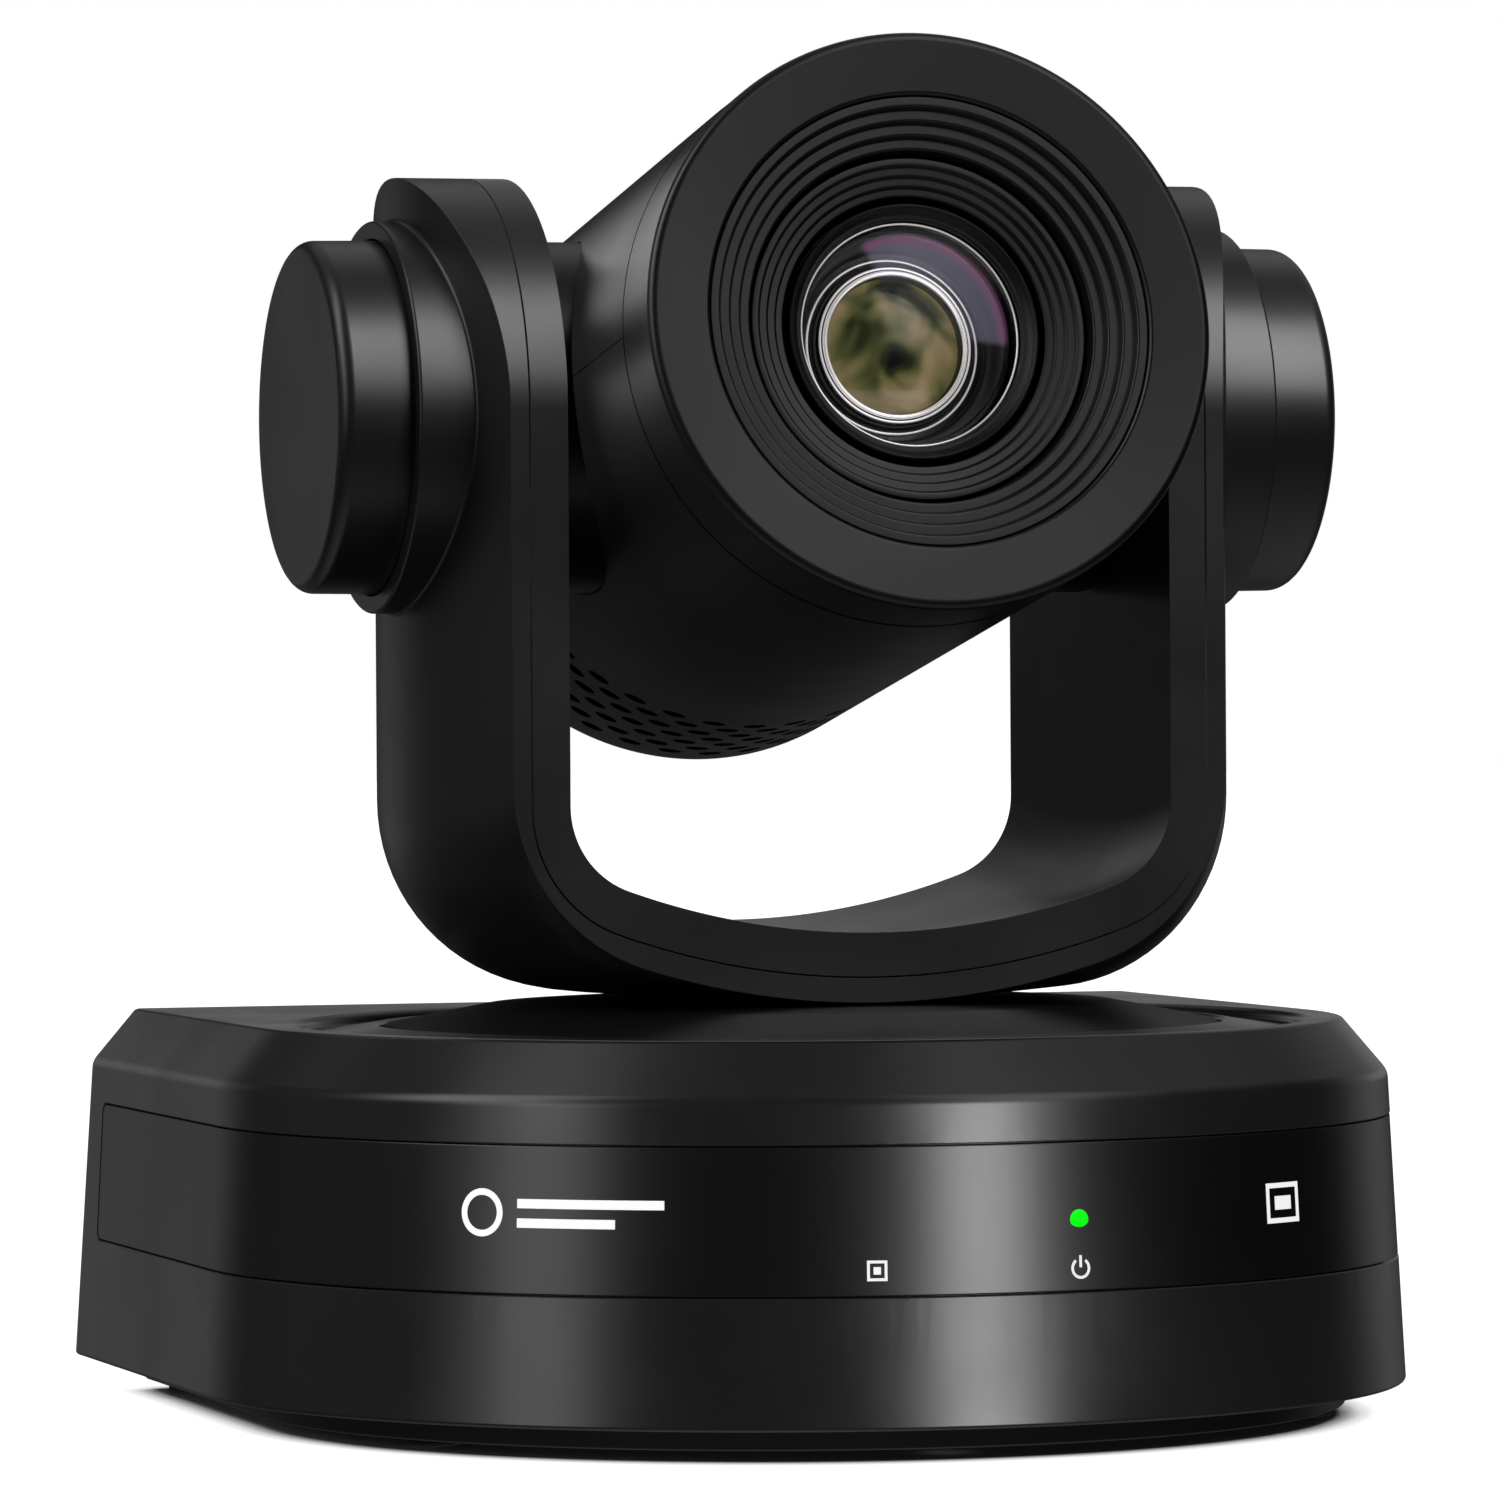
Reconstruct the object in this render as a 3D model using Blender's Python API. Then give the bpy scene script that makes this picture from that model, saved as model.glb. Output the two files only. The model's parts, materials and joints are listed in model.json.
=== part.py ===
"""PTZ conference camera: a D-shaped base, a U-shaped yoke that pans, and a round head that tilts.

Lengths in this script are millimetres and become metres when a mesh is made. +Z is up, the lens
faces -Y, and the origin is on the pan axis at the height of the soles of the rubber feet.
"""
import math

import bmesh
import bpy

MM = 0.001
GAP = 0.3                      # clearance between neighbouring pieces

# Base
BASE_HALF_WIDTH = 70.0         # at the lower edge of the cover
BASE_REAR = 69.8               # pan axis to rear wall, at the lower edge
BASE_ARC_CENTRE = 2.3          # the front is one arc about this point behind the pan axis
DRAFT = math.tan(math.radians(3.1))
PLATE_BOTTOM = 1.2
COVER_BOTTOM = 3.8
WINDOW_BOTTOM = 18.1
WINDOW_TOP = 34.45
WINDOW_END = 60.5              # the window runs this far back along both sides
SHOULDER_BOTTOM = 39.2
BASE_TOP = 45.4
SHOULDER_INSET = 4.9
COVER_WALL = 3.0
WINDOW_DEPTH = 1.7
MOAT_RADIUS = 57.8             # edge of the shallow round recess that the turntable sits in
MOAT_BOTTOM = BASE_TOP - 1.3
LED_X = 10.0
LED_Z = 25.9
LED_HOLE_RADIUS = 1.9
REAR_OPENING_HALF = 56.0       # opening for the connector panel in the rear wall
REAR_OPENING_BOTTOM = 9.5
REAR_OPENING_TOP = 37.5
PLATE_INSET = 6.2              # the bottom plate stands back from the cover
PLATE_THICK = 3.1
FOOT_RADIUS = 5.0
FOOT_PLACES = [(-51.5, -21.9), (51.5, -21.9), (-57, 53.5), (57, 53.5)]
SCREW_RADIUS = 2.8
SCREW_PLACES = [(0, -52), (0, 52)]
INSERT_BORE = 3.2              # radius, for a 1/4 inch tripod screw
INSERT_RADIUS = 5.0
INSERT_TOP = 7.6
BOARD_TOP = 13.6
BOARD_THICK = 1.6
DISC_RADIUS = 48.2
DISC_TOP = 47.9

# Back of the base. Each connector: centre x, width, height, socket width, socket height, metal body
CONNECTORS = {
    "dc_inlet": (-47, 9.0, 11.0, 5.6, 5.6, False),
    "hdmi_port": (-22, 15.0, 6.4, 13.4, 4.6, True),
    "lan_port": (6, 16.0, 14.0, 12.0, 8.0, True),
}
CONNECTOR_FRONT = 52.2
CONNECTOR_FACE = 68.2
SOCKET_FLOOR = 56.2
PANEL_FRONT = 66.0
PANEL_FACE = 67.8
SWITCH_X = 46.0
SWITCH_Z = 24.5
SWITCH_HALF = (7.0, 9.5)       # half width and half height of the frame
SWITCH_WALL = 1.6
ROCKER_AXIS = 66.8

# Yoke
TILT_HEIGHT = 114.35
ARM_DEPTH = 28.0               # half depth
ARM_INNER = 35.2
ARM_SEAM = 39.6
ARM_TOP = 27.1                 # height of the rounded arm tops above the tilt axis
ARM_OUTER_EDGE = 41.8
ARM_OUTER_CROWN = 47.9         # the outer face is widest at mid depth
FLOOR_EDGE = 56.15             # height of the floor between the arms, at its front and rear edges
FLOOR_DISH = 2.2
SHELL_WALL = 2.0
RING_RADIUS = 22.2
RING_BORE = 17.6
RING_END = 50.6
CAP_RADIUS = 20.0
CAP_END = 59.0

# Head
REST_TILT = 10.1               # degrees above level
HEAD_RISE = 0.5                # optical axis above the tilt axis
HEAD_FORWARD = 1.1             # distances along the optical axis count from this far in front of it
HEAD_RADIUS = 32.3
HEAD_WALL = 2.2
HEAD_FRONT = 50.0
SLEEVE_SEAM = 39.55
REAR_DOME = 59.3               # radius of the domed rear, about the tilt axis's height
REAR_ROUND = 6.0
HUB_RADIUS = 20.0
HUB_END = 34.9
VENT_ROWS = 7
VENT_PITCH = 3.1
VENT_ANGLE = 8.8
VENT_FIRST = -24.1
VENT_SIZE = (1.25, 0.9)        # half width round the barrel, and half length along it
BEZEL_RADIUS = 25.1
INNER_RING_RADIUS = 19.2
BARREL_RADIUS = 14.5
BARREL_BORE = 12.6

# Drives
PAN_MODULE = 1.0
PAN_TEETH = 48
PAN_PINION_TEETH = 12
TILT_MODULE = 0.6
TILT_TEETH = 24
TILT_PINION_TEETH = 10
SHAFT_RADIUS = 6.0
BEARING_RADIUS = 11.0
OUTER_HOLLOW_DEPTH = 20.0      # half depths of the hollows in the two yoke shells
INNER_HOLLOW_DEPTH = ARM_DEPTH - SHELL_WALL
GEAR_LOW = 31.0
GEAR_HIGH = 36.0
TILT_GEAR_LOW = 39.6
TILT_GEAR_HIGH = 43.0
PAN_DISTANCE = PAN_MODULE * (PAN_TEETH + PAN_PINION_TEETH) / 2
PAN_MOTOR_ANGLE = 225.0
TILT_DISTANCE = TILT_MODULE * (TILT_TEETH + TILT_PINION_TEETH) / 2


# ---------------------------------------------------------------- tools
def clear_scene():
    for thing in list(bpy.data.objects):
        bpy.data.objects.remove(thing, do_unlink=True)


def material(name, colour, roughness=0.45, metallic=0.0):
    known = bpy.data.materials.get(name)
    if known:
        return known
    made = bpy.data.materials.new(name)
    made.use_nodes = True
    shader = made.node_tree.nodes["Principled BSDF"]
    shader.inputs["Base Color"].default_value = (*colour, 1.0)
    shader.inputs["Roughness"].default_value = roughness
    shader.inputs["Metallic"].default_value = metallic
    return made


def shell_plastic():
    return material("satin_black_plastic", (0.020, 0.020, 0.021), 0.42)


def dark_plastic():
    return material("matt_black_plastic", (0.012, 0.012, 0.012), 0.6)


def gloss_plastic():
    return material("gloss_black_window", (0.008, 0.008, 0.009), 0.12)


def steel():
    return material("steel", (0.55, 0.55, 0.56), 0.3, 1.0)


def brass():
    return material("brass", (0.70, 0.52, 0.22), 0.3, 1.0)


def circuit_board():
    return material("circuit_board_green", (0.02, 0.13, 0.06), 0.5)


def glass():
    return material("coated_glass", (0.10, 0.08, 0.12), 0.03)


def rubber():
    return material("rubber", (0.015, 0.015, 0.015), 0.85)


def white_nylon():
    return material("gear_nylon", (0.75, 0.74, 0.70), 0.5)


def empty(name, place=(0, 0, 0), turn=(0, 0, 0), parent=None):
    made = bpy.data.objects.new(name, None)
    bpy.context.scene.collection.objects.link(made)
    made.location = [value * MM for value in place]
    made.rotation_euler = [math.radians(value) for value in turn]
    made.parent = parent
    return made


def solid(name, points, faces, look, place=(0, 0, 0), turn=(0, 0, 0), parent=None):
    """A named object from points in millimetres, with its faces turned outwards."""
    mesh = bpy.data.meshes.new(name)
    mesh.from_pydata([[value * MM for value in point] for point in points], [], faces)
    work = bmesh.new()
    work.from_mesh(mesh)
    bmesh.ops.connect_verts_nonplanar(work, angle_limit=math.radians(0.01), faces=work.faces)
    bmesh.ops.recalc_face_normals(work, faces=work.faces)
    work.to_mesh(mesh)
    work.free()
    mesh.materials.append(look)
    mesh.shade_smooth()
    mesh.set_sharp_from_angle(angle=math.radians(32))
    made = bpy.data.objects.new(name, mesh)
    bpy.context.scene.collection.objects.link(made)
    made.location = [value * MM for value in place]
    made.rotation_euler = [math.radians(value) for value in turn]
    made.parent = parent
    return made


def loft(name, loops, look, **where):
    """Skin closed loops that have the same number of points, and cap the first and last."""
    count = len(loops[0])
    points = [point for loop in loops for point in loop]
    faces = [list(range(count)), list(range(len(points) - count, len(points)))]
    for level in range(len(loops) - 1):
        start = level * count
        for i in range(count):
            j = (i + 1) % count
            faces.append([start + i, start + j, start + count + j, start + count + i])
    return solid(name, points, faces, look, **where)


def prism(name, outline, low, high, look, **where):
    loops = [[(x, y, z) for x, y in outline] for z in (low, high)]
    return loft(name, loops, look, **where)


def box(name, low, high, look, **where):
    outline = [(low[0], low[1]), (high[0], low[1]), (high[0], high[1]), (low[0], high[1])]
    return prism(name, outline, low[2], high[2], look, **where)


def turned(name, profile, look, segments=32, sweep=360.0, **where):
    """Revolve a closed (radius, height) outline about the local Z axis, by sweep degrees."""
    whole = sweep >= 360.0
    columns = segments if whole else segments + 1
    points = []
    index = {}
    for column in range(columns):
        angle = math.radians(sweep) * column / segments
        for row, (radius, height) in enumerate(profile):
            if radius == 0 and column:
                index[column, row] = index[0, row]
                continue
            index[column, row] = len(points)
            points.append((radius * math.cos(angle), radius * math.sin(angle), height))
    faces = []
    for column in range(segments):
        after = (column + 1) % columns
        for row in range(len(profile)):
            below = (row + 1) % len(profile)
            corners = [index[column, row], index[after, row], index[after, below], index[column, below]]
            unique = list(dict.fromkeys(corners))
            if len(unique) > 2:
                faces.append(unique)
    if not whole:
        faces.append([index[0, row] for row in range(len(profile))])
        faces.append([index[segments, row] for row in range(len(profile))])
    return solid(name, points, faces, look, **where)


def disc(name, radius, low, high, look, segments=20, **where):
    return turned(name, [(0, low), (radius, low), (radius, high), (0, high)], look, segments, **where)


def tube(name, bore, radius, low, high, look, segments=24, **where):
    outline = [(bore, low), (radius, low), (radius, high), (bore, high)]
    return turned(name, outline, look, segments, **where)


def arc(centre, radius, start, end, steps):
    """Points on a circle from start to end degrees, both included."""
    angles = [math.radians(start + (end - start) * i / steps) for i in range(steps + 1)]
    return [(centre[0] + radius * math.cos(a), centre[1] + radius * math.sin(a)) for a in angles]


def combine(target, tool, operation, solver="EXACT"):
    step = target.modifiers.new(tool.name, "BOOLEAN")
    step.operation = operation
    step.object = tool
    step.solver = solver
    tool.hide_render = True
    tool.display_type = "WIRE"
    return target


def cut(target, *tools, solver="EXACT"):
    for tool in tools:
        combine(target, tool, "DIFFERENCE", solver)
    return target


def fuse(target, *tools, solver="EXACT"):
    for tool in tools:
        combine(target, tool, "UNION", solver)
    return target


def many(pieces):
    """Points and faces of one cutter made of several separate closed shapes."""
    points = []
    faces = []
    for piece_points, piece_faces in pieces:
        start = len(points)
        points.extend(piece_points)
        faces.extend([[start + i for i in face] for face in piece_faces])
    return points, faces


def post(centre, radius, low, high, segments=12):
    """Points and faces of one upright cylinder."""
    rim = arc(centre, radius, 0, 360, segments)[:-1]
    points = [(x, y, low) for x, y in rim] + [(x, y, high) for x, y in rim]
    faces = [list(range(segments)), list(range(segments, 2 * segments))]
    for i in range(segments):
        j = (i + 1) % segments
        faces.append([i, j, segments + j, segments + i])
    return points, faces


def gear_outline(teeth, module, turn=0.0):
    """Straight-sided teeth with backlash; turn is in tooth pitches."""
    pitch = 360.0 / teeth
    radius = teeth * module / 2
    corners = [(-0.30, radius - 1.15 * module), (-0.13, radius + 0.85 * module),
               (0.13, radius + 0.85 * module), (0.30, radius - 1.15 * module)]
    outline = []
    for tooth in range(teeth):
        for share, length in corners:
            angle = math.radians(pitch * (tooth + turn + share))
            outline.append((length * math.cos(angle), length * math.sin(angle)))
    return outline


# ---------------------------------------------------------------- base
def base_outline(z, inset=0.0, rear_inset=None, arc_steps=32):
    """The D-shaped plan of the base at height z, moved inwards by inset."""
    lean = DRAFT * (z - COVER_BOTTOM)
    half = BASE_HALF_WIDTH - lean - inset
    rear = BASE_REAR - lean - (inset if rear_inset is None else rear_inset)
    front = arc((0, BASE_ARC_CENTRE), half, 0, -180, arc_steps)
    return [(x, y, z) for x, y in front + [(-half, rear), (half, rear)]]


def window_band(name, look, low, high, outer, inner, end):
    """A strip that follows the sides and front of the base; outer and inner are insets."""
    def corner(side, y, turn, inset, z):
        half = BASE_HALF_WIDTH - DRAFT * (z - COVER_BOTTOM) - inset
        if side:
            return (side * half, y, z)
        return (half * math.cos(turn), BASE_ARC_CENTRE + half * math.sin(turn), z)

    stations = [(1, end, 0.0)]
    stations += [(0, 0.0, -math.pi * i / 32) for i in range(33)]
    stations += [(-1, end, 0.0)]
    sections = []
    for side, y, turn in stations:
        ring = [(outer, low), (outer, high), (inner, high), (inner, low)]
        sections.append([corner(side, y, turn, inset, z) for inset, z in ring])
    return loft(name, sections, look)


def base_cover():
    levels = [(COVER_BOTTOM, 0.0), (SHOULDER_BOTTOM, 0.0), (BASE_TOP - 0.8, SHOULDER_INSET - 1.0),
              (BASE_TOP, SHOULDER_INSET)]
    cover = loft("base_cover", [base_outline(z, inset, 0.0) for z, inset in levels], shell_plastic())
    levels = [(COVER_BOTTOM - 1, COVER_WALL), (SHOULDER_BOTTOM - 1, COVER_WALL),
              (BASE_TOP - COVER_WALL, COVER_WALL + 3.6)]
    cavity = loft("cut_cavity", [base_outline(z, inset, COVER_WALL) for z, inset in levels],
                  shell_plastic())
    recess = turned("cut_turntable_recess", [
        (0, 60), (MOAT_RADIUS + 0.8, 60), (MOAT_RADIUS + 0.8, BASE_TOP + 0.4),
        (MOAT_RADIUS + 0.4, BASE_TOP - 0.3), (MOAT_RADIUS - 0.4, BASE_TOP - 1.1),
        (MOAT_RADIUS - 1.4, MOAT_BOTTOM), (DISC_RADIUS + 0.5, BASE_TOP - 0.1),
        (DISC_RADIUS + 0.5, 30), (0, 30)], shell_plastic(), 48)
    band = window_band("cut_window_seat", shell_plastic(), WINDOW_BOTTOM, WINDOW_TOP, -3.0,
                       WINDOW_DEPTH, WINDOW_END)
    rear = box("cut_rear_opening", (-REAR_OPENING_HALF, 58, REAR_OPENING_BOTTOM),
               (REAR_OPENING_HALF, 80, REAR_OPENING_TOP), shell_plastic())
    led_hole = disc("cut_led_hole", LED_HOLE_RADIUS, 55, 75, shell_plastic(), 10,
                    place=(LED_X, 0, LED_Z), turn=(90, 0, 0))
    cut(cover, rear, cavity, recess, band)
    return cut(cover, led_hole, solver="MANIFOLD")


def ir_window():
    return window_band("ir_window", gloss_plastic(), WINDOW_BOTTOM + 0.25, WINDOW_TOP - 0.25, 0.1,
                       WINDOW_DEPTH - GAP, WINDOW_END - 0.25)


def bottom_plate():
    top = PLATE_BOTTOM + PLATE_THICK
    levels = [(PLATE_BOTTOM, PLATE_INSET + 1.0), (2.0, PLATE_INSET + 0.2), (top - 0.4, PLATE_INSET),
              (top, COVER_WALL + 0.4), (top + 2.5, COVER_WALL + 0.4)]
    plate = loft("bottom_plate", [base_outline(z, inset) for z, inset in levels], dark_plastic())
    holes = [post(place, FOOT_RADIUS + GAP, 0, PLATE_BOTTOM + 1.2, 16) for place in FOOT_PLACES]
    holes += [post(place, SCREW_RADIUS + GAP, 0, PLATE_BOTTOM + 2.2) for place in SCREW_PLACES]
    holes.append(post((0, 0), INSERT_RADIUS + GAP, 0, 9, 16))
    holes = solid("cut_plate_holes", *many(holes), dark_plastic())
    return cut(plate, holes)


def tripod_insert():
    """Threaded insert for a 1/4 inch tripod screw, open below."""
    low = PLATE_BOTTOM + 0.1
    outline = [(INSERT_BORE, low), (INSERT_RADIUS, low), (INSERT_RADIUS, INSERT_TOP), (0, INSERT_TOP),
               (0, INSERT_TOP - 1.0), (INSERT_BORE, INSERT_TOP - 1.0)]
    turned("tripod_insert", outline, brass(), 16)


def feet():
    for number, (x, y) in enumerate(FOOT_PLACES, 1):
        outline = [(0, 0), (FOOT_RADIUS - 0.5, 0), (FOOT_RADIUS, 0.5), (FOOT_RADIUS, 2.1), (0, 2.1)]
        turned(f"rubber_foot_{number}", outline, rubber(), 16, place=(x, y, 0))


def bottom_screws():
    for number, (x, y) in enumerate(SCREW_PLACES, 1):
        low = PLATE_BOTTOM + 0.2
        outline = [(0, low + 0.7), (1.2, low), (SCREW_RADIUS, low), (SCREW_RADIUS, low + 1.7),
                   (0, low + 1.7)]
        turned(f"bottom_screw_{number}", outline, steel(), 12, place=(x, y, 0))


def main_board():
    levels = (BOARD_TOP - BOARD_THICK, BOARD_TOP)
    board = loft("main_board", [base_outline(z, 8.0, 8.5, 20) for z in levels], circuit_board())
    return cut(board, disc("cut_board_hole", 20, 5, 20, circuit_board(), 24))


def front_board():
    """Small upright board behind the window, with the indicator and the remote receiver."""
    box("indicator_board", (-22, -57.8, 15), (22, -56.4, 34), circuit_board())
    disc("power_led", 1.5, 58.1, 64.0, material("led_green", (0.05, 0.9, 0.1), 0.3), 10,
         place=(LED_X, 0, LED_Z), turn=(90, 0, 0))
    box("remote_receiver", (-15, -61.3, 22), (-9, -58.1, 29), dark_plastic())


def rear_panel():
    half = REAR_OPENING_HALF - GAP
    panel = box("rear_panel", (-half, PANEL_FRONT, REAR_OPENING_BOTTOM + GAP),
                (half, PANEL_FACE, REAR_OPENING_TOP - GAP), dark_plastic())
    for name, (x, width, height, *_) in CONNECTORS.items():
        half = width / 2 + GAP
        cut(panel, box(f"cut_{name}", (x - half, 60, BOARD_TOP), (x + half, 75, BOARD_TOP + height + 0.7),
                       dark_plastic()))
    wide, tall = SWITCH_HALF
    cut(panel, box("cut_switch", (SWITCH_X - wide - GAP, 60, SWITCH_Z - tall - GAP),
                   (SWITCH_X + wide + GAP, 75, SWITCH_Z + tall + GAP), dark_plastic()))
    return panel


def connectors():
    for name, (x, width, height, socket_width, socket_height, metal) in CONNECTORS.items():
        low = BOARD_TOP + 0.35
        middle = low + height / 2
        body = box(name, (x - width / 2, CONNECTOR_FRONT, low),
                   (x + width / 2, CONNECTOR_FACE, low + height), steel() if metal else dark_plastic())
        socket = box(f"cut_{name}_socket",
                     (x - socket_width / 2, SOCKET_FLOOR, middle - socket_height / 2),
                     (x + socket_width / 2, 75, middle + socket_height / 2), dark_plastic())
        cut(body, socket)


def power_switch():
    """A rocker that turns on a cross pin inside its frame."""
    wide, tall = SWITCH_HALF
    frame = box("switch_frame", (SWITCH_X - wide, SOCKET_FLOOR, SWITCH_Z - tall),
                (SWITCH_X + wide, CONNECTOR_FACE, SWITCH_Z + tall), dark_plastic())
    cut(frame, box("cut_switch_well", (SWITCH_X - wide + SWITCH_WALL, 59.2, SWITCH_Z - tall + SWITCH_WALL),
                   (SWITCH_X + wide - SWITCH_WALL, 75, SWITCH_Z + tall - SWITCH_WALL), dark_plastic()))
    outline = [(-7.0, 1.6), (-7.0, -0.6), (-3.0, -2.6), (3.0, -2.6), (7.0, -0.6), (7.0, 1.6),
               (0.0, 0.6)]
    half = wide - SWITCH_WALL - GAP
    loops = [[(x, y, z) for z, y in outline] for x in (-half, half)]
    loft("power_rocker", loops, dark_plastic(), place=(SWITCH_X, ROCKER_AXIS, SWITCH_Z))


def pan_drive():
    """Bearing tower, bearing and motor in the base; the pinion turns on its own axis."""
    tube("bearing_tower", 14.3, 17.5, 7.1, 27.5, steel())
    tube("pan_bearing", 8.3, 14.0, 20.5, 26.5, steel())
    turn = math.radians(PAN_MOTOR_ANGLE)
    x, y = PAN_DISTANCE * math.cos(turn), PAN_DISTANCE * math.sin(turn)
    tube("pan_motor", 2.3, 12.0, 14.2, 29.5, steel(), place=(x, y, 0))
    # A tooth of the gear and a gap of the pinion face each other on the line of centres.
    gear_turn = PAN_MOTOR_ANGLE / (360.0 / PAN_TEETH)
    pinion_turn = (PAN_MOTOR_ANGLE + 180) / (360.0 / PAN_PINION_TEETH) + 0.5
    pinion = prism("pan_pinion", gear_outline(PAN_PINION_TEETH, PAN_MODULE, pinion_turn), GEAR_LOW - 0.5,
                   GEAR_HIGH + 0.5, brass(), place=(x, y, 0))
    fuse(pinion, disc("add_pinion_shaft", 2.0, 18, GEAR_LOW + 2, brass(), 16, place=(x, y, 0)))
    return gear_turn


# ---------------------------------------------------------------- yoke
def u_curve(half_width, bottom, bottom_radius, corner_radius, top, steps=4):
    """Right arm top to left arm top: straight arms, round corners, a shallow curved bottom."""
    reach = bottom_radius - corner_radius
    across = half_width - corner_radius
    big_z = bottom + bottom_radius
    corner_z = big_z - math.sqrt(reach ** 2 - across ** 2)
    lean = math.degrees(math.atan2(across, big_z - corner_z))
    corner = arc((across, corner_z), corner_radius, 0, lean - 90, steps)
    bottom_arc = arc((0, big_z), bottom_radius, lean - 90, -90, steps)[1:]
    right = [(half_width, top)] + corner + bottom_arc
    left = [(-x, z) for x, z in reversed(right[:-1])]
    return right + left


def inner_curve(y, offset, top):
    """The floor between the arms is dished, so that the domed rear of the head swings over it."""
    dish = FLOOR_DISH * (1 - (y / ARM_DEPTH) ** 2)
    return u_curve(ARM_INNER + offset, FLOOR_EDGE - dish - offset, 85 + offset, 10 + offset, top)


def seam_curve(offset, top):
    return u_curve(ARM_SEAM + offset, 51.1 - offset, 88.8 + offset, 15 + offset, top)


def outer_curve(y, offset, top):
    """The outer face is crowned: widest at mid depth, where its bottom is also flattest."""
    share = 1 - (y / ARM_DEPTH) ** 2
    crown = (ARM_OUTER_CROWN - ARM_OUTER_EDGE) * share
    return u_curve(ARM_OUTER_EDGE + crown + offset, 48.25 - offset, 88 + 350 * share + offset,
                   21.5 + offset, top)


def u_band(name, outside, inside, depth, stations=7, **where):
    """A U between two curves of y and arm height; its arms end in a half round."""
    loops = []
    for i in range(stations):
        turn = math.pi * (i / (stations - 1) - 0.5)
        y = depth * math.sin(turn)
        top = TILT_HEIGHT + depth * ARM_TOP / ARM_DEPTH * math.cos(turn)
        loops.append([(x, y, z) for x, z in outside(y, top) + list(reversed(inside(y, top)))])
    return loft(name, loops, shell_plastic(), **where)


def yoke_outer_shell(parent):
    shell = u_band("yoke_outer_shell", lambda y, top: outer_curve(y, 0, top),
                   lambda y, top: seam_curve(GAP / 2, top), ARM_DEPTH, parent=parent)
    hollow = u_band("cut_outer_hollow",
                    lambda y, top: outer_curve(OUTER_HOLLOW_DEPTH, -SHELL_WALL, top),
                    lambda y, top: seam_curve(-1.0, top), OUTER_HOLLOW_DEPTH, 5, parent=parent)
    bore = disc("cut_ring_seats", RING_BORE + 2, -60, 60, shell_plastic(), 40,
                place=(0, 0, TILT_HEIGHT), turn=(0, 90, 0), parent=parent)
    cut(shell, bore, hollow, solver="MANIFOLD")
    for side_name, turn in (("right", 90), ("left", -90)):
        fuse(shell, turned(f"add_ring_{side_name}", [
            (RING_BORE, 41.0), (RING_RADIUS, 41.0), (RING_RADIUS, RING_END - 0.5),
            (RING_RADIUS - 0.5, RING_END), (RING_BORE, RING_END)], shell_plastic(), 44,
            place=(0, 0, TILT_HEIGHT), turn=(0, turn, 0), parent=parent), solver="MANIFOLD")
    return shell


def yoke_inner_shell(parent):
    shell = u_band("yoke_inner_shell", lambda y, top: seam_curve(-GAP / 2, top),
                   lambda y, top: inner_curve(y, 0, top), ARM_DEPTH, parent=parent)
    hollow = u_band("cut_inner_hollow", lambda y, top: seam_curve(2.0, top),
                    lambda y, top: inner_curve(y, SHELL_WALL, top), INNER_HOLLOW_DEPTH, 5, parent=parent)
    cut(shell, hollow)
    bore = disc("cut_shaft_bores", BEARING_RADIUS + GAP, -60, 60, shell_plastic(), 32,
                place=(0, 0, TILT_HEIGHT), turn=(0, 90, 0), parent=parent)
    return cut(shell, bore)


def side_cap(side_name, turn, parent):
    wall = CAP_RADIUS - 2.2
    rim = arc((CAP_RADIUS - 2, CAP_END - 2), 2, 0, 90, 2)
    outline = [(wall, RING_END + GAP), (CAP_RADIUS, RING_END + GAP)] + rim
    outline += [(0, CAP_END), (0, CAP_END - 2), (wall, CAP_END - 2)]
    turned(f"side_cap_{side_name}", outline, shell_plastic(), place=(0, 0, TILT_HEIGHT),
           turn=(0, turn, 0), parent=parent)


def tilt_bearing(side_name, turn, parent):
    tube(f"tilt_bearing_{side_name}", SHAFT_RADIUS + GAP, BEARING_RADIUS, 35.5, 38.7, steel(), 24,
         place=(0, 0, TILT_HEIGHT), turn=(0, turn, 0), parent=parent)


def tilt_motor(parent):
    """In the left cap, above the tilt axis, with its pinion in mesh with the tilt gear."""
    where = {"place": (0, 0, TILT_HEIGHT + TILT_DISTANCE), "turn": (0, -90, 0), "parent": parent}
    tube("tilt_motor", 1.5, 7.0, 45.6, 56.6, steel(), 20, **where)
    # local X of this turn points up, so the pinion's gap on -X faces the gear below it
    pinion_turn = 180.0 / (360.0 / TILT_PINION_TEETH) + 0.5
    pinion = prism("tilt_pinion", gear_outline(TILT_PINION_TEETH, TILT_MODULE, pinion_turn),
                   TILT_GEAR_LOW - 0.3, TILT_GEAR_HIGH + 0.3, brass(), **where)
    fuse(pinion, disc("add_tilt_pinion_shaft", 1.2, 41, 52, brass(), 12, **where))


def turntable(parent, gear_turn):
    turned("turntable_disc", [
        (5.5, DISC_TOP), (30, DISC_TOP), (34, DISC_TOP - 0.3), (DISC_RADIUS - 0.6, BASE_TOP - 0.2),
        (DISC_RADIUS, BASE_TOP - 0.6), (DISC_RADIUS, 43.4), (32, 45.0), (5.5, 45.3)],
        shell_plastic(), 36, parent=parent)
    turned("pan_shaft", [(5.0, 16), (8.0, 16), (8.0, 41.5), (20, 41.5), (20, 45.0), (5.0, 45.0)],
           steel(), 24, parent=parent)
    gear = prism("pan_gear", gear_outline(PAN_TEETH, PAN_MODULE, gear_turn), GEAR_LOW, GEAR_HIGH,
                 white_nylon(), parent=parent)
    cut(gear, disc("cut_pan_gear_bore", 8.3, 20, 50, white_nylon(), 32, parent=parent))


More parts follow.
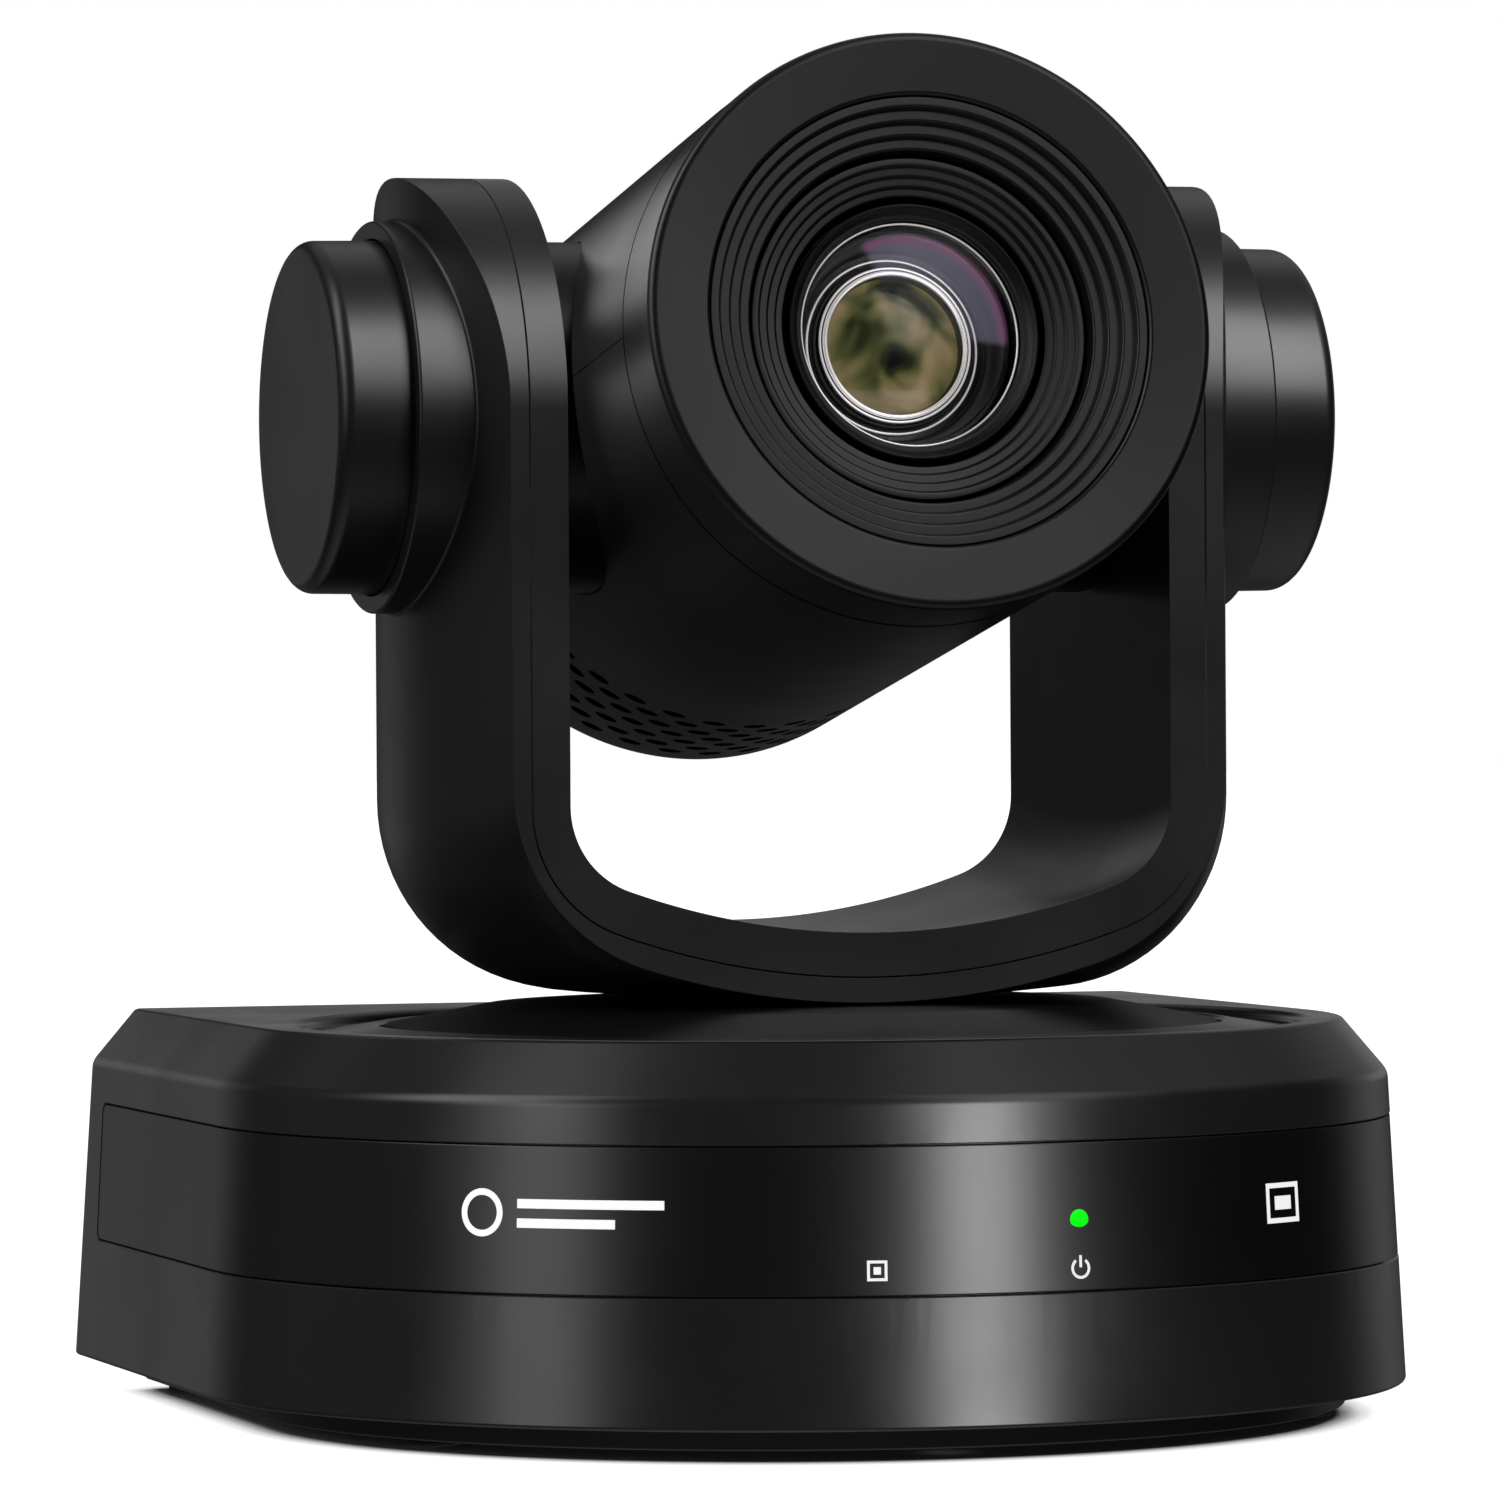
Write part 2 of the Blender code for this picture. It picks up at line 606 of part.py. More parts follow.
# ---------------------------------------------------------------- head
def rear_line(offset, round_steps, dome_steps):
    """Barrel side, rounded corner and dome, from the sleeve seam to the axis, as (radius, z)."""
    across = HEAD_RADIUS - REAR_ROUND
    down = -math.sqrt((REAR_DOME - REAR_ROUND) ** 2 - across ** 2)
    meet = math.degrees(math.atan2(down, across))
    line = [(HEAD_RADIUS - offset, SLEEVE_SEAM - GAP / 2)]
    line += arc((across, down), REAR_ROUND - offset, 0, meet, round_steps)
    line += arc((0, 0), REAR_DOME - offset, meet, -90, dome_steps)[1:-1]
    return line + [(0, offset - REAR_DOME)]


def head_profile():
    """Cross-section of the barrel wall, outside and then back along the inside."""
    return rear_line(0, 3, 3) + list(reversed(rear_line(HEAD_WALL, 2, 2)))


def vent_holes():
    """Rows of oval holes round the lower rear of the barrel, each row half a pitch from the next."""
    pieces = []
    for row in range(VENT_ROWS):
        z = VENT_FIRST - VENT_PITCH * row
        shift = 0.5 * (row % 2)
        count = 11 - row % 2
        for column in range(count):
            angle = (column + shift - 5) * VENT_ANGLE
            pieces.append(vent_hole(math.radians(angle - 90), z))
    return pieces


def vent_hole(angle, z):
    """Points and faces of a radial block through the wall, at one angle about the head's axis."""
    out = (math.cos(angle), math.sin(angle))
    half_width, half_height = VENT_SIZE
    points = []
    for radius in (HEAD_RADIUS - HEAD_WALL - 2, HEAD_RADIUS + 2):
        for across, up in ((-1, -1), (1, -1), (1, 1), (-1, 1)):
            side = across * half_width
            points.append((radius * out[0] - side * out[1], radius * out[1] + side * out[0],
                           z + up * half_height))
    faces = [[0, 1, 2, 3], [4, 5, 6, 7], [0, 1, 5, 4], [1, 2, 6, 5], [2, 3, 7, 6], [3, 0, 4, 7]]
    return points, faces


def head_shells(optic):
    hub_hole = disc("cut_hub_holes", HUB_RADIUS + GAP, -60, 60, shell_plastic(),
                    place=(0, -HEAD_RISE, -HEAD_FORWARD), turn=(0, 90, 0), parent=optic)
    upper = turned("head_upper_shell", head_profile(), shell_plastic(), 20, 180.0,
                   place=(0, GAP / 2, 0), parent=optic)
    lower = turned("head_lower_shell", head_profile(), shell_plastic(), 20, 180.0,
                   place=(0, -GAP / 2, 0), turn=(0, 0, 180), parent=optic)
    cut(upper, hub_hole)
    vents = solid("cut_vents", *many(vent_holes()), shell_plastic(), parent=optic)
    cut(lower, hub_hole, vents)


def front_sleeve(optic):
    edge = arc((HEAD_RADIUS - 2.2, HEAD_FRONT - 2.2), 2.2, 0, 90, 3)
    outline = [(HEAD_RADIUS, SLEEVE_SEAM + GAP / 2)] + edge
    outline += [(BEZEL_RADIUS + GAP, HEAD_FRONT - 1.3), (BEZEL_RADIUS + GAP, 43.2), (29.6, 41.5),
                (29.6, SLEEVE_SEAM + GAP / 2)]
    turned("front_sleeve", outline, shell_plastic(), 36, parent=optic)


def stepped_ring(name, outer, inner, front, back, steps, drop, look, optic):
    """A funnel ring whose face goes inwards in equal terraces."""
    wide = (outer - inner) / steps
    outline = [(outer, back), (outer, front)]
    for step in range(steps):
        edge = outer - wide * (step + 1)
        level = front - drop * step
        outline.append((edge + 0.1, level - 0.15))
        outline.append((edge, level - drop if step < steps - 1 else back))
    turned(name, outline, look, parent=optic)


def lens(optic):
    tube("lens_barrel", BARREL_BORE, BARREL_RADIUS, -24, 41.6, dark_plastic(), 32, parent=optic)
    turned("retaining_ring", [(11.6, 41.9), (14.4, 41.9), (14.4, 43.0), (13.9, 43.4), (11.6, 42.5)],
           dark_plastic(), 32, parent=optic)
    dome = [(r, 41.55 + 1.2 * (1 - (r / 11.4) ** 2)) for r in (11.4, 9, 6, 3, 0)]
    turned("front_element", [(0, 38.0), (12.3, 38.0), (12.3, 41.5)] + dome, glass(), 32, parent=optic)
    turned("lens_cell", [(7.8, 33.0), (12.3, 33.0), (12.3, 34.2), (9.3, 34.2), (9.0, 35.8),
                         (7.8, 35.8)], steel(), 32, parent=optic)
    dome = [(r, 35.0 + 0.8 * (1 - (r / 7.5) ** 2)) for r in (7.5, 5, 2.5, 0)]
    turned("inner_element", [(0, 31.5), (7.5, 31.5)] + dome, glass(), 20, parent=optic)
    turned("zoom_carriage", [(8.3, 12), (12.3, 12), (12.3, 22), (10.6, 22), (10.6, 14), (8.3, 14)],
           dark_plastic(), 24, parent=optic)
    dome = [(r, 16.0 + 1.5 * (1 - (r / 10.3) ** 2)) for r in (10.3, 7, 3.5, 0)]
    turned("zoom_element", [(0, 14.3), (10.3, 14.3)] + dome, glass(), 20, parent=optic)
    turned("focus_carriage", [(7.0, -14), (12.3, -14), (12.3, -6), (9.4, -6), (9.4, -12), (7.0, -12)],
           dark_plastic(), 24, parent=optic)
    dome = [(r, -10.0 + 1.2 * (1 - (r / 9.1) ** 2)) for r in (9.1, 6, 3, 0)]
    turned("focus_element", [(0, -11.7), (9.1, -11.7)] + dome, glass(), 20, parent=optic)


def head_insides(optic):
    tube("lens_mount_ring", BARREL_RADIUS + GAP, 29.8, 22, 25, steel(), 32, parent=optic)
    box("sensor_board", (-18, -18, -27.4), (18, 18, -25.8), circuit_board(), parent=optic)
    box("image_sensor", (-5, -4, -25.5), (5, 4, -23.0), dark_plastic(), parent=optic)
    for name, angle in (("zoom_motor", 50), ("focus_motor", 130)):
        turn = math.radians(angle)
        disc(name, 4.0, 2, 16, steel(), 16, place=(19 * math.cos(turn), 19 * math.sin(turn), 0),
             parent=optic)


def tilt_hub(side_name, turn, tilt):
    outline = [(HUB_RADIUS, 24), (HUB_RADIUS, HUB_END), (SHAFT_RADIUS + GAP, HUB_END),
               (SHAFT_RADIUS + GAP, 32.4), (HUB_RADIUS - 2.4, 32.4), (HUB_RADIUS - 2.4, 24)]
    turned(f"tilt_hub_{side_name}", outline, shell_plastic(), turn=(0, turn, 0), parent=tilt)
    outline = [(0, 29.5), (12, 29.5), (12, 32.1), (SHAFT_RADIUS, 32.1), (SHAFT_RADIUS, 43.4),
               (0, 43.4)]
    turned(f"tilt_shaft_{side_name}", outline, steel(), 20, turn=(0, turn, 0), parent=tilt)


def tilt_gear(tilt):
    """On the left shaft; local X points up once the head's rest tilt is taken off."""
    gear_turn = -REST_TILT / (360.0 / TILT_TEETH)
    gear = prism("tilt_gear", gear_outline(TILT_TEETH, TILT_MODULE, gear_turn), TILT_GEAR_LOW,
                 TILT_GEAR_HIGH, white_nylon(), turn=(0, -90, 0), parent=tilt)
    cut(gear, disc("cut_tilt_gear_bore", SHAFT_RADIUS + GAP, 30, 50, white_nylon(), 24,
                   turn=(0, -90, 0), parent=tilt))


# ---------------------------------------------------------------- assembly
def build():
    clear_scene()
    base_cover()
    ir_window()
    bottom_plate()
    tripod_insert()
    feet()
    bottom_screws()
    main_board()
    front_board()
    rear_panel()
    connectors()
    power_switch()
    gear_turn = pan_drive()

    pan = empty("pan_axis")
    turntable(pan, gear_turn)
    yoke_outer_shell(pan)
    yoke_inner_shell(pan)
    for side_name, turn in (("right", 90), ("left", -90)):
        side_cap(side_name, turn, pan)
        tilt_bearing(side_name, turn, pan)
    tilt_motor(pan)

    tilt = empty("tilt_axis", (0, 0, TILT_HEIGHT), (-REST_TILT, 0, 0), pan)
    optic = empty("optical_axis", (0, -HEAD_FORWARD, HEAD_RISE), (90, 0, 0), tilt)
    head_shells(optic)
    front_sleeve(optic)
    stepped_ring("front_bezel", BEZEL_RADIUS, 19.5, 48.5, 43.4, 4, 0.95, dark_plastic(), optic)
    stepped_ring("inner_ring", INNER_RING_RADIUS, 14.9, 44.9, 40.0, 4, 0.5, dark_plastic(), optic)
    lens(optic)
    head_insides(optic)
    for side_name, turn in (("right", 90), ("left", -90)):
        tilt_hub(side_name, turn, tilt)
    tilt_gear(tilt)


build()
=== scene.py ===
"""The looks of the PTZ camera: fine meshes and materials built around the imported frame.

Lengths here are millimetres and become metres when a mesh is made, as in the part's own source.
+Z is up, the lens faces -Y, and the origin is on the pan axis at the soles of the feet.
"""
import json
import math

import bmesh
import bpy
from mathutils import Matrix, Vector

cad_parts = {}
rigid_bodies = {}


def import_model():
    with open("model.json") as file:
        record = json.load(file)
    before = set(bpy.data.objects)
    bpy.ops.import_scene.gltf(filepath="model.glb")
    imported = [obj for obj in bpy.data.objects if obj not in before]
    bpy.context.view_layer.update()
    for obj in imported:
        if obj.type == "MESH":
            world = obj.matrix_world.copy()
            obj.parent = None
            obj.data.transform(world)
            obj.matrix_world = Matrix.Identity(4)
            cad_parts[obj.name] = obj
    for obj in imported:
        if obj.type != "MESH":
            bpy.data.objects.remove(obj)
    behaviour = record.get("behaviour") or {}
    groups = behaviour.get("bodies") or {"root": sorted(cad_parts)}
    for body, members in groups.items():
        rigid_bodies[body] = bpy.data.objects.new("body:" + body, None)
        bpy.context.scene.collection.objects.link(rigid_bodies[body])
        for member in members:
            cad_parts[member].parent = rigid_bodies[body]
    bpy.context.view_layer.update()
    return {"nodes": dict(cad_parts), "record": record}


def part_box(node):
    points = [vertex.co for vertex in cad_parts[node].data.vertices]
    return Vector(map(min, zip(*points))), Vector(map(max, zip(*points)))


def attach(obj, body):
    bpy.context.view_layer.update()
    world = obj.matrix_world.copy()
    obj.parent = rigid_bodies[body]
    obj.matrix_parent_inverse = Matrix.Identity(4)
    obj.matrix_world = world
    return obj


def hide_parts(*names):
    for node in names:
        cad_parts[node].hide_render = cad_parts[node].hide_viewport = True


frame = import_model()

SCENE = bpy.context.scene
MM = 0.001
SHARP_ANGLE = 32.0

# Base
BASE_HALF_WIDTH = 70.0
BASE_REAR = 69.8
REAR_CORNER = 1.0
BASE_ARC_CENTRE = 2.3
FRONT_STEPS = 140
SIDE_STEPS = 24
REAR_STEPS = 48
DRAFT = math.tan(math.radians(3.1))
PLATE_BOTTOM = 1.2
COVER_BOTTOM = 3.8
WINDOW_BOTTOM = 18.1
WINDOW_TOP = 34.45
WINDOW_END = 60.5
WINDOW_CORNER = 1.3
WINDOW_GAP = 0.14
WINDOW_SUNK = 0.06
PRINT_LIFTS = (-0.03, 0.025)
SHOULDER_BOTTOM = 39.2
SHOULDER_INSET = 4.9
BASE_TOP = 45.4
REAR_EDGE = 0.6
COVER_WALL = 3.0
MOAT_RADIUS = 57.8
MOAT_DEPTH = 1.35
DISC_RADIUS = 48.2
DISC_TOP = 47.9
LED_ANGLE = 9.1
LED_HEIGHT = 25.9
FEET = [(-51.5, -21.9), (51.5, -21.9), (-57, 53.5), (57, 53.5)]
SCREWS = [(0, -52), (0, 52)]
GROOVES = (-33, -26, -19, 19, 26, 33)
# Seats in the bottom plate: radius, and how high they reach
FOOT_SEAT = (5.3, 2.4)
SCREW_SEAT = (3.1, 3.4)
INSERT_SEAT = (5.3, 10.2)
TAPPED_RADIUS = 3.2
THREAD_TURNS = 8
THREAD_PITCH = 0.6

# Back of the base: each connector's middle, width and height
CONNECTORS = {"dc_inlet": (-47, 9.0, 11.0), "hdmi_port": (-22, 15.0, 6.4), "lan_port": (6, 16.0, 14.0)}
CONNECTOR_LOW = 13.95
CONNECTOR_BACK = 52.2
CONNECTOR_FACE = 68.2
SOCKET_FLOOR = 56.2
PANEL_MIDDLE = 23.5
PANEL_HALF = (55.8, 13.8)
PANEL_BACK = 66.0
PANEL_FACE = 67.8
CUT_BEYOND = 75.0
SWITCH_X = 46.0
SWITCH_Z = 24.5
SWITCH_HALF = (7.0, 9.5)
SWITCH_RIM = 1.6
ROCKER_AXIS = 66.8

# Yoke
ARM_DEPTH = 28.0
ARM_INNER = 35.2
ARM_SEAM = 39.6
ARM_TOP = 27.1
ARM_OUTER_EDGE = 41.8
ARM_OUTER_CROWN = 47.9
ARM_STRAIGHT_FROM = 75.0
FLOOR_EDGE = 56.15
FLOOR_DISH = 2.2
FLOOR_RADIUS = 85.0
FLOOR_CORNER = 10.0
SEAM_BOTTOM = 51.1
SEAM_RADIUS = 88.8
SEAM_CORNER = 15.0
YOKE_BOTTOM = 48.25
YOKE_RADIUS = 88.0
YOKE_FLATTER = 350.0
YOKE_CORNER = 21.5
SEAM_GAP = 0.10
RING_RADIUS = 22.2
RING_END = 50.6
CAP_RADIUS = 20.0
CAP_END = 59.0
TILT_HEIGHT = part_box("side_cap_left")[0].z / MM + CAP_RADIUS

# Head
REST_TILT = 10.1
HEAD_RISE = 0.5
HEAD_FORWARD = 1.1
HEAD_RADIUS = 32.3
HEAD_WALL = 2.2
HEAD_FRONT = 50.0
SEAM_HALF_GAP = 0.06
SLEEVE_SEAM = 39.55
REAR_DOME = 59.3
REAR_ROUND = 6.0
HUB_RADIUS = 20.0
HUB_END = 34.9
VENT_FIRST = -24.1
VENT_PITCH = 3.1
VENT_ANGLE = 8.8
VENT_ROWS = 7
VENT_COLUMNS = 11
VENT_HALF = (1.4, 1.0)
BEZEL_RADIUS = 25.1
INNER_RING_RADIUS = 19.2
GLASS_RADIUS = 12.4
INNER_GLASS_RADIUS = 7.8

# Looks: the part of a noise's range that is used, and where the painted magenta reflection lies on the
# front glass, in degrees round the lens axis
NOISE_LOW = 0.3
NOISE_HIGH = 0.7
PAINTED_SHEEN_MIDDLE = 55.0
PAINTED_SHEEN_HALF = 60.0

# Studio
CAMERA_PLACE = (-294.3, -940.0, 84.73)
CAMERA_YAW = -17.059
CAMERA_PITCH = 0.487
CAMERA_ROLL = -0.368
CAMERA_LENS = 205.8

# Soft lights all round: azimuth of the centre from straight ahead, half width, softness, then the
# elevation of the centre, half height, softness, all in degrees, and the strength.
SOFT_LIGHTS = [
    (38, 20, 10, 52, 16, 10, 1.9),
    (30, 12, 9, 31, 11, 7, 1.8),
    (88, 28, 16, 52, 18, 12, 0.3),
    (-90, 18, 12, 42, 20, 12, 3.3),
    (-70, 12, 12, 16, 14, 10, 1.8),
    (-118, 20, 14, 10, 22, 12, 0.12),
    (142, 20, 15, 38, 24, 14, 0.25),
    (128, 12, 8, 2, 12, 8, 0.25),
    (165, 45, 20, -14, 10, 8, 0.08),
    (180, 36, 20, 50, 20, 10, 0.3),
]
CEILING = 0.15
FLOOR_GLOW = 0.5

# The floor, and how far its painted contact shadow reaches up to the object
FLOOR_HALF = 6000.0
FLOOR_LEVEL = -0.02
SHADOW_REACH = 4.5

# Strips that light only some of the pieces: azimuth, elevation, width and height in degrees, strength
# and the pieces. They stand STRIP_DISTANCE away from a point STRIP_TARGET above the origin.
CAPS = ("cap_left", "cap_right", "cap_ring_left", "cap_ring_right")
BASE = ("cover_fine", "window_fine")
BARREL = ("barrel_upper", "barrel_lower", "sleeve_fine")
STRIPS = {
    "base_strip_right": (17.5, 2, 15, 34, 12.3, BASE),
    "base_strip_left": (-65, 2, 18, 34, 1.9, BASE),
    "horizon_strip": (163, 5, 60, 10, 0.32, ("cover_fine",)),
    "yoke_floor_strip": (163, 14, 60, 26, 0.32, ("yoke_inner_fine",)),
    "back_strip": (-164, 4, 26, 26, 0.16, ("yoke_outer_fine", *BASE, *CAPS)),
    "inner_strip": (-163, 4, 30, 30, 0.02, ("yoke_inner_fine",)),
    "barrel_strip": (-164, 5, 34, 22, 1.1, BARREL),
    "high_strip": (28, 38, 28, 42, 6.0, ("yoke_outer_fine", "yoke_inner_fine", *CAPS)),
    "face_strip": (17.5, 20, 44, 40, 0.3, ("sleeve_fine", "bezel_fine", "inner_ring_fine")),
}
STRIP_DISTANCE = 3000.0
STRIP_TARGET = 80.0


def turn(degrees, axis):
    return Matrix.Rotation(math.radians(degrees), 4, axis)


def shift(x, y, z):
    return Matrix.Translation((x * MM, y * MM, z * MM))


UPRIGHT = Matrix.Identity(4)
SIDES = {"right": shift(0, 0, TILT_HEIGHT) @ turn(90, "Y"),
         "left": shift(0, 0, TILT_HEIGHT) @ turn(-90, "Y")}
TILTED = shift(0, 0, TILT_HEIGHT) @ turn(-REST_TILT, "X")
OPTIC = TILTED @ shift(0, -HEAD_FORWARD, HEAD_RISE) @ turn(90, "X")
HUBS = {"right": TILTED @ turn(90, "Y"), "left": TILTED @ turn(-90, "Y")}


# -------- materials
class Nodes:
    """Short words for the nodes that the materials share."""

    def __init__(self, tree):
        self.tree = tree

    def add(self, kind, **settings):
        node = self.tree.nodes.new(kind)
        for key, value in settings.items():
            setattr(node, key, value)
        return node

    def link(self, source, target):
        self.tree.links.new(source, target)

    def noise(self, scale, detail=2.0, distortion=0.0):
        """Noise in the object's own metres; scale is features per metre."""
        place = self.add("ShaderNodeTexCoord")
        noise = self.add("ShaderNodeTexNoise")
        for name, number in (("Scale", scale), ("Detail", detail), ("Distortion", distortion)):
            noise.inputs[name].default_value = number
        self.link(place.outputs["Object"], noise.inputs["Vector"])
        return noise.outputs["Fac"]

    def ranged(self, value, start, end, low, high, change="LINEAR"):
        """Maps start..end to low..high, and holds it at those ends."""
        node = self.add("ShaderNodeMapRange", interpolation_type=change)
        for name, number in (("From Min", start), ("From Max", end), ("To Min", low), ("To Max", high)):
            node.inputs[name].default_value = number
        self.link(value, node.inputs["Value"])
        return node.outputs["Result"]

    def maths(self, operation, first, second=None, third=None):
        """A maths node; its inputs are numbers or sockets."""
        node = self.add("ShaderNodeMath", operation=operation)
        for socket, value in zip(node.inputs, (first, second, third)):
            if isinstance(value, (int, float)):
                socket.default_value = value
            elif value is not None:
                self.link(value, socket)
        return node.outputs[0]

    def falling(self, value, edge, softness):
        """1 below edge, 0 above it, with a smooth change of the given half width."""
        return self.ranged(value, edge - softness, edge + softness, 1.0, 0.0, "SMOOTHSTEP")

    def rising(self, value, edge, softness):
        return self.maths("SUBTRACT", 1.0, self.falling(value, edge, softness))

    def ramp(self, source, stops):
        """Colours through (position, colour) stops."""
        node = self.add("ShaderNodeValToRGB")
        elements = node.color_ramp.elements
        for position, _ in stops[2:]:
            elements.new(position)
        for element, (position, colour) in zip(elements, stops):
            element.position = position
            element.color = (*colour, 1)
        self.link(source, node.inputs["Fac"])
        return node.outputs["Color"]

    def colours(self, source, first, second):
        """Two colours, mixed by the middle of a 0 to 1 value."""
        return self.ramp(source, [(NOISE_LOW, first), (NOISE_HIGH, second)])

    def bump(self, source, depth_mm):
        bump = self.add("ShaderNodeBump")
        bump.inputs["Distance"].default_value = depth_mm * MM
        bump.inputs["Strength"].default_value = 1.0
        self.link(source, bump.inputs["Height"])
        return bump.outputs["Normal"]


def new_look(name):
    """A new material, with its nodes and its Principled shader."""
    made = bpy.data.materials.new(name)
    made.use_nodes = True
    return made, Nodes(made.node_tree), made.node_tree.nodes["Principled BSDF"]


def surface(name, colour, second, roughness, grain_mm, depth_mm, smudge=0.04, **constants):
    """A Principled material with grain, two close tones and slightly uneven gloss."""
    made, nodes, shader = new_look(name)
    for key, value in constants.items():
        shader.inputs[key.replace("_", " ").title().replace("Ior", "IOR")].default_value = value
    grain = nodes.noise(1 / (grain_mm * MM))
    cloud = nodes.noise(45.0, 3.0)
    nodes.link(nodes.colours(grain, colour, second), shader.inputs["Base Color"])
    uneven = nodes.ranged(cloud, NOISE_LOW, NOISE_HIGH, roughness - smudge, roughness + smudge)
    nodes.link(uneven, shader.inputs["Roughness"])
    nodes.link(nodes.bump(grain, depth_mm), shader.inputs["Normal"])
    return made


LOOKS = {
    "shell": surface("satin_black_plastic", (0.0075, 0.0075, 0.008), (0.0105, 0.0105, 0.011), 0.34, 0.16,
                     0.004),
    "base_shell": surface("base_black_plastic", (0.0075, 0.0075, 0.008), (0.0105, 0.0105, 0.011), 0.28, 0.16,
                          0.004),
    "dark": surface("matt_black_plastic", (0.006, 0.006, 0.006), (0.009, 0.009, 0.009), 0.42, 0.16, 0.004),
    "window": surface("gloss_black_window", (0.0025, 0.0025, 0.003), (0.003, 0.003, 0.0035), 0.29, 2.5,
                      0.0008, 0.01),
    "steel": surface("plain_steel", (0.50, 0.50, 0.51), (0.60, 0.60, 0.61), 0.3, 0.3, 0.002, metallic=1.0),
    "brass": surface("brass", (0.62, 0.46, 0.19), (0.72, 0.55, 0.25), 0.28, 0.3, 0.002, metallic=1.0),
    "board": surface("circuit_board", (0.010, 0.085, 0.035), (0.018, 0.13, 0.06), 0.4, 1.2, 0.01),
    "rubber": surface("rubber", (0.010, 0.010, 0.010), (0.016, 0.016, 0.016), 0.8, 0.25, 0.01),
    "nylon": surface("gear_nylon", (0.70, 0.69, 0.65), (0.78, 0.77, 0.73), 0.45, 0.5, 0.003),
    "led": surface("indicator_green", (0.0, 0.35, 0.0), (0.0, 0.45, 0.0), 0.35, 0.4, 0.001,
                   emission_color=(0.005, 1.0, 0.01, 1), emission_strength=0.9),
    # the print's pale colour is its own; the emission on top is painted light that makes it look lit
    "print": surface("pale_print_painted_light", (0.84, 0.84, 0.84), (0.90, 0.90, 0.90), 0.45, 0.2, 0.001,
                     emission_color=(1, 1, 1, 1), emission_strength=0.7),
    "lens_black": surface("lens_black", (0.0035, 0.0035, 0.0035), (0.0045, 0.0045, 0.0045), 0.3, 0.2,
                          0.001),
    # painted highlight: this metal is also emitted as light, standing in for lens edges that catch the light
    "bright_ring": surface("aluminium_painted_highlight", (0.75, 0.75, 0.76), (0.85, 0.85, 0.86), 0.16, 0.2, 0.001,
                           metallic=1.0, emission_color=(1.0, 0.98, 0.94, 1), emission_strength=0.36),
}


def around_axis(nodes):
    """Distance from the lens axis in mm, and the angle round it in degrees, as sockets."""
    place = nodes.add("ShaderNodeTexCoord")
    local = nodes.add("ShaderNodeMapping", vector_type="TEXTURE")
    local.inputs["Location"].default_value = OPTIC.to_translation()
    local.inputs["Rotation"].default_value = OPTIC.to_euler()
    split = nodes.add("ShaderNodeSeparateXYZ")
    nodes.link(place.outputs["Object"], local.inputs["Vector"])
    nodes.link(local.outputs["Vector"], split.inputs["Vector"])
    x, y = split.outputs["X"], split.outputs["Y"]
    distance = nodes.maths("SQRT", nodes.maths("ADD", nodes.maths("MULTIPLY", x, x),
                                               nodes.maths("MULTIPLY", y, y)))
    return nodes.maths("DIVIDE", distance, MM), nodes.maths("DEGREES", nodes.maths("ARCTAN2", y, x))


def coated_glass():
    """Clear glass with a painted magenta reflection, emitted round the upper right of its rim."""
    made, nodes, shader = new_look("coated_glass")
    shader.inputs["Transmission Weight"].default_value = 1.0
    shader.inputs["IOR"].default_value = 1.16
    shader.inputs["Roughness"].default_value = 0.01
    distance, angle = around_axis(nodes)
    # painted reflection: a magenta crescent on the rim, emitted as light where there is no lamp
    painted_sheen = nodes.maths("MULTIPLY", nodes.falling(distance, 11.3, 0.25), nodes.rising(distance, 7.0, 1.6))
    across = nodes.maths("ABSOLUTE", nodes.maths("SUBTRACT", angle, PAINTED_SHEEN_MIDDLE))
    painted_sheen = nodes.maths("MULTIPLY", painted_sheen, nodes.falling(across, PAINTED_SHEEN_HALF, 2.0))
    nodes.link(nodes.maths("MULTIPLY", painted_sheen, 0.055), shader.inputs["Emission Strength"])
    rim = nodes.rising(distance, 10.4, 0.8)
    nodes.link(nodes.colours(rim, (0.55, 0.50, 0.75), (1.0, 0.38, 0.85)), shader.inputs["Emission Color"])
    nodes.link(nodes.colours(nodes.noise(3000.0), (0.96, 0.95, 0.97), (0.98, 0.97, 0.99)),
               shader.inputs["Base Color"])
    return made


def amber_painted_reflections():
    """The inner lens: painted amber and green reflections that drift into dark ones, also emitted as light.
    """
    made, nodes, shader = new_look("coated_glass_inner")
    shader.inputs["Roughness"].default_value = 0.06
    shader.inputs["Specular IOR Level"].default_value = 0.3
    # painted reflections: these colours stand in for the inner lens's reflections, and the same colours are
    # emitted as painted light
    stops = [(0.36, (0.006, 0.006, 0.005)), (0.43, (0.020, 0.024, 0.010)), (0.50, (0.075, 0.080, 0.028)),
             (0.58, (0.17, 0.135, 0.062)), (0.68, (0.26, 0.20, 0.11))]
    distance, _ = around_axis(nodes)
    # painted reflection, paler towards the rim
    painted_paler_rim = nodes.maths("MULTIPLY", nodes.maths("SUBTRACT", distance, 4.4), 0.035)
    colour = nodes.ramp(nodes.maths("ADD", nodes.noise(125.0, distortion=0.9), painted_paler_rim), stops)
    nodes.link(colour, shader.inputs["Base Color"])
    nodes.link(colour, shader.inputs["Emission Color"])
    shader.inputs["Emission Strength"].default_value = 0.55
    return made


LOOKS["glass"] = coated_glass()
LOOKS["glass_inner"] = amber_painted_reflections()


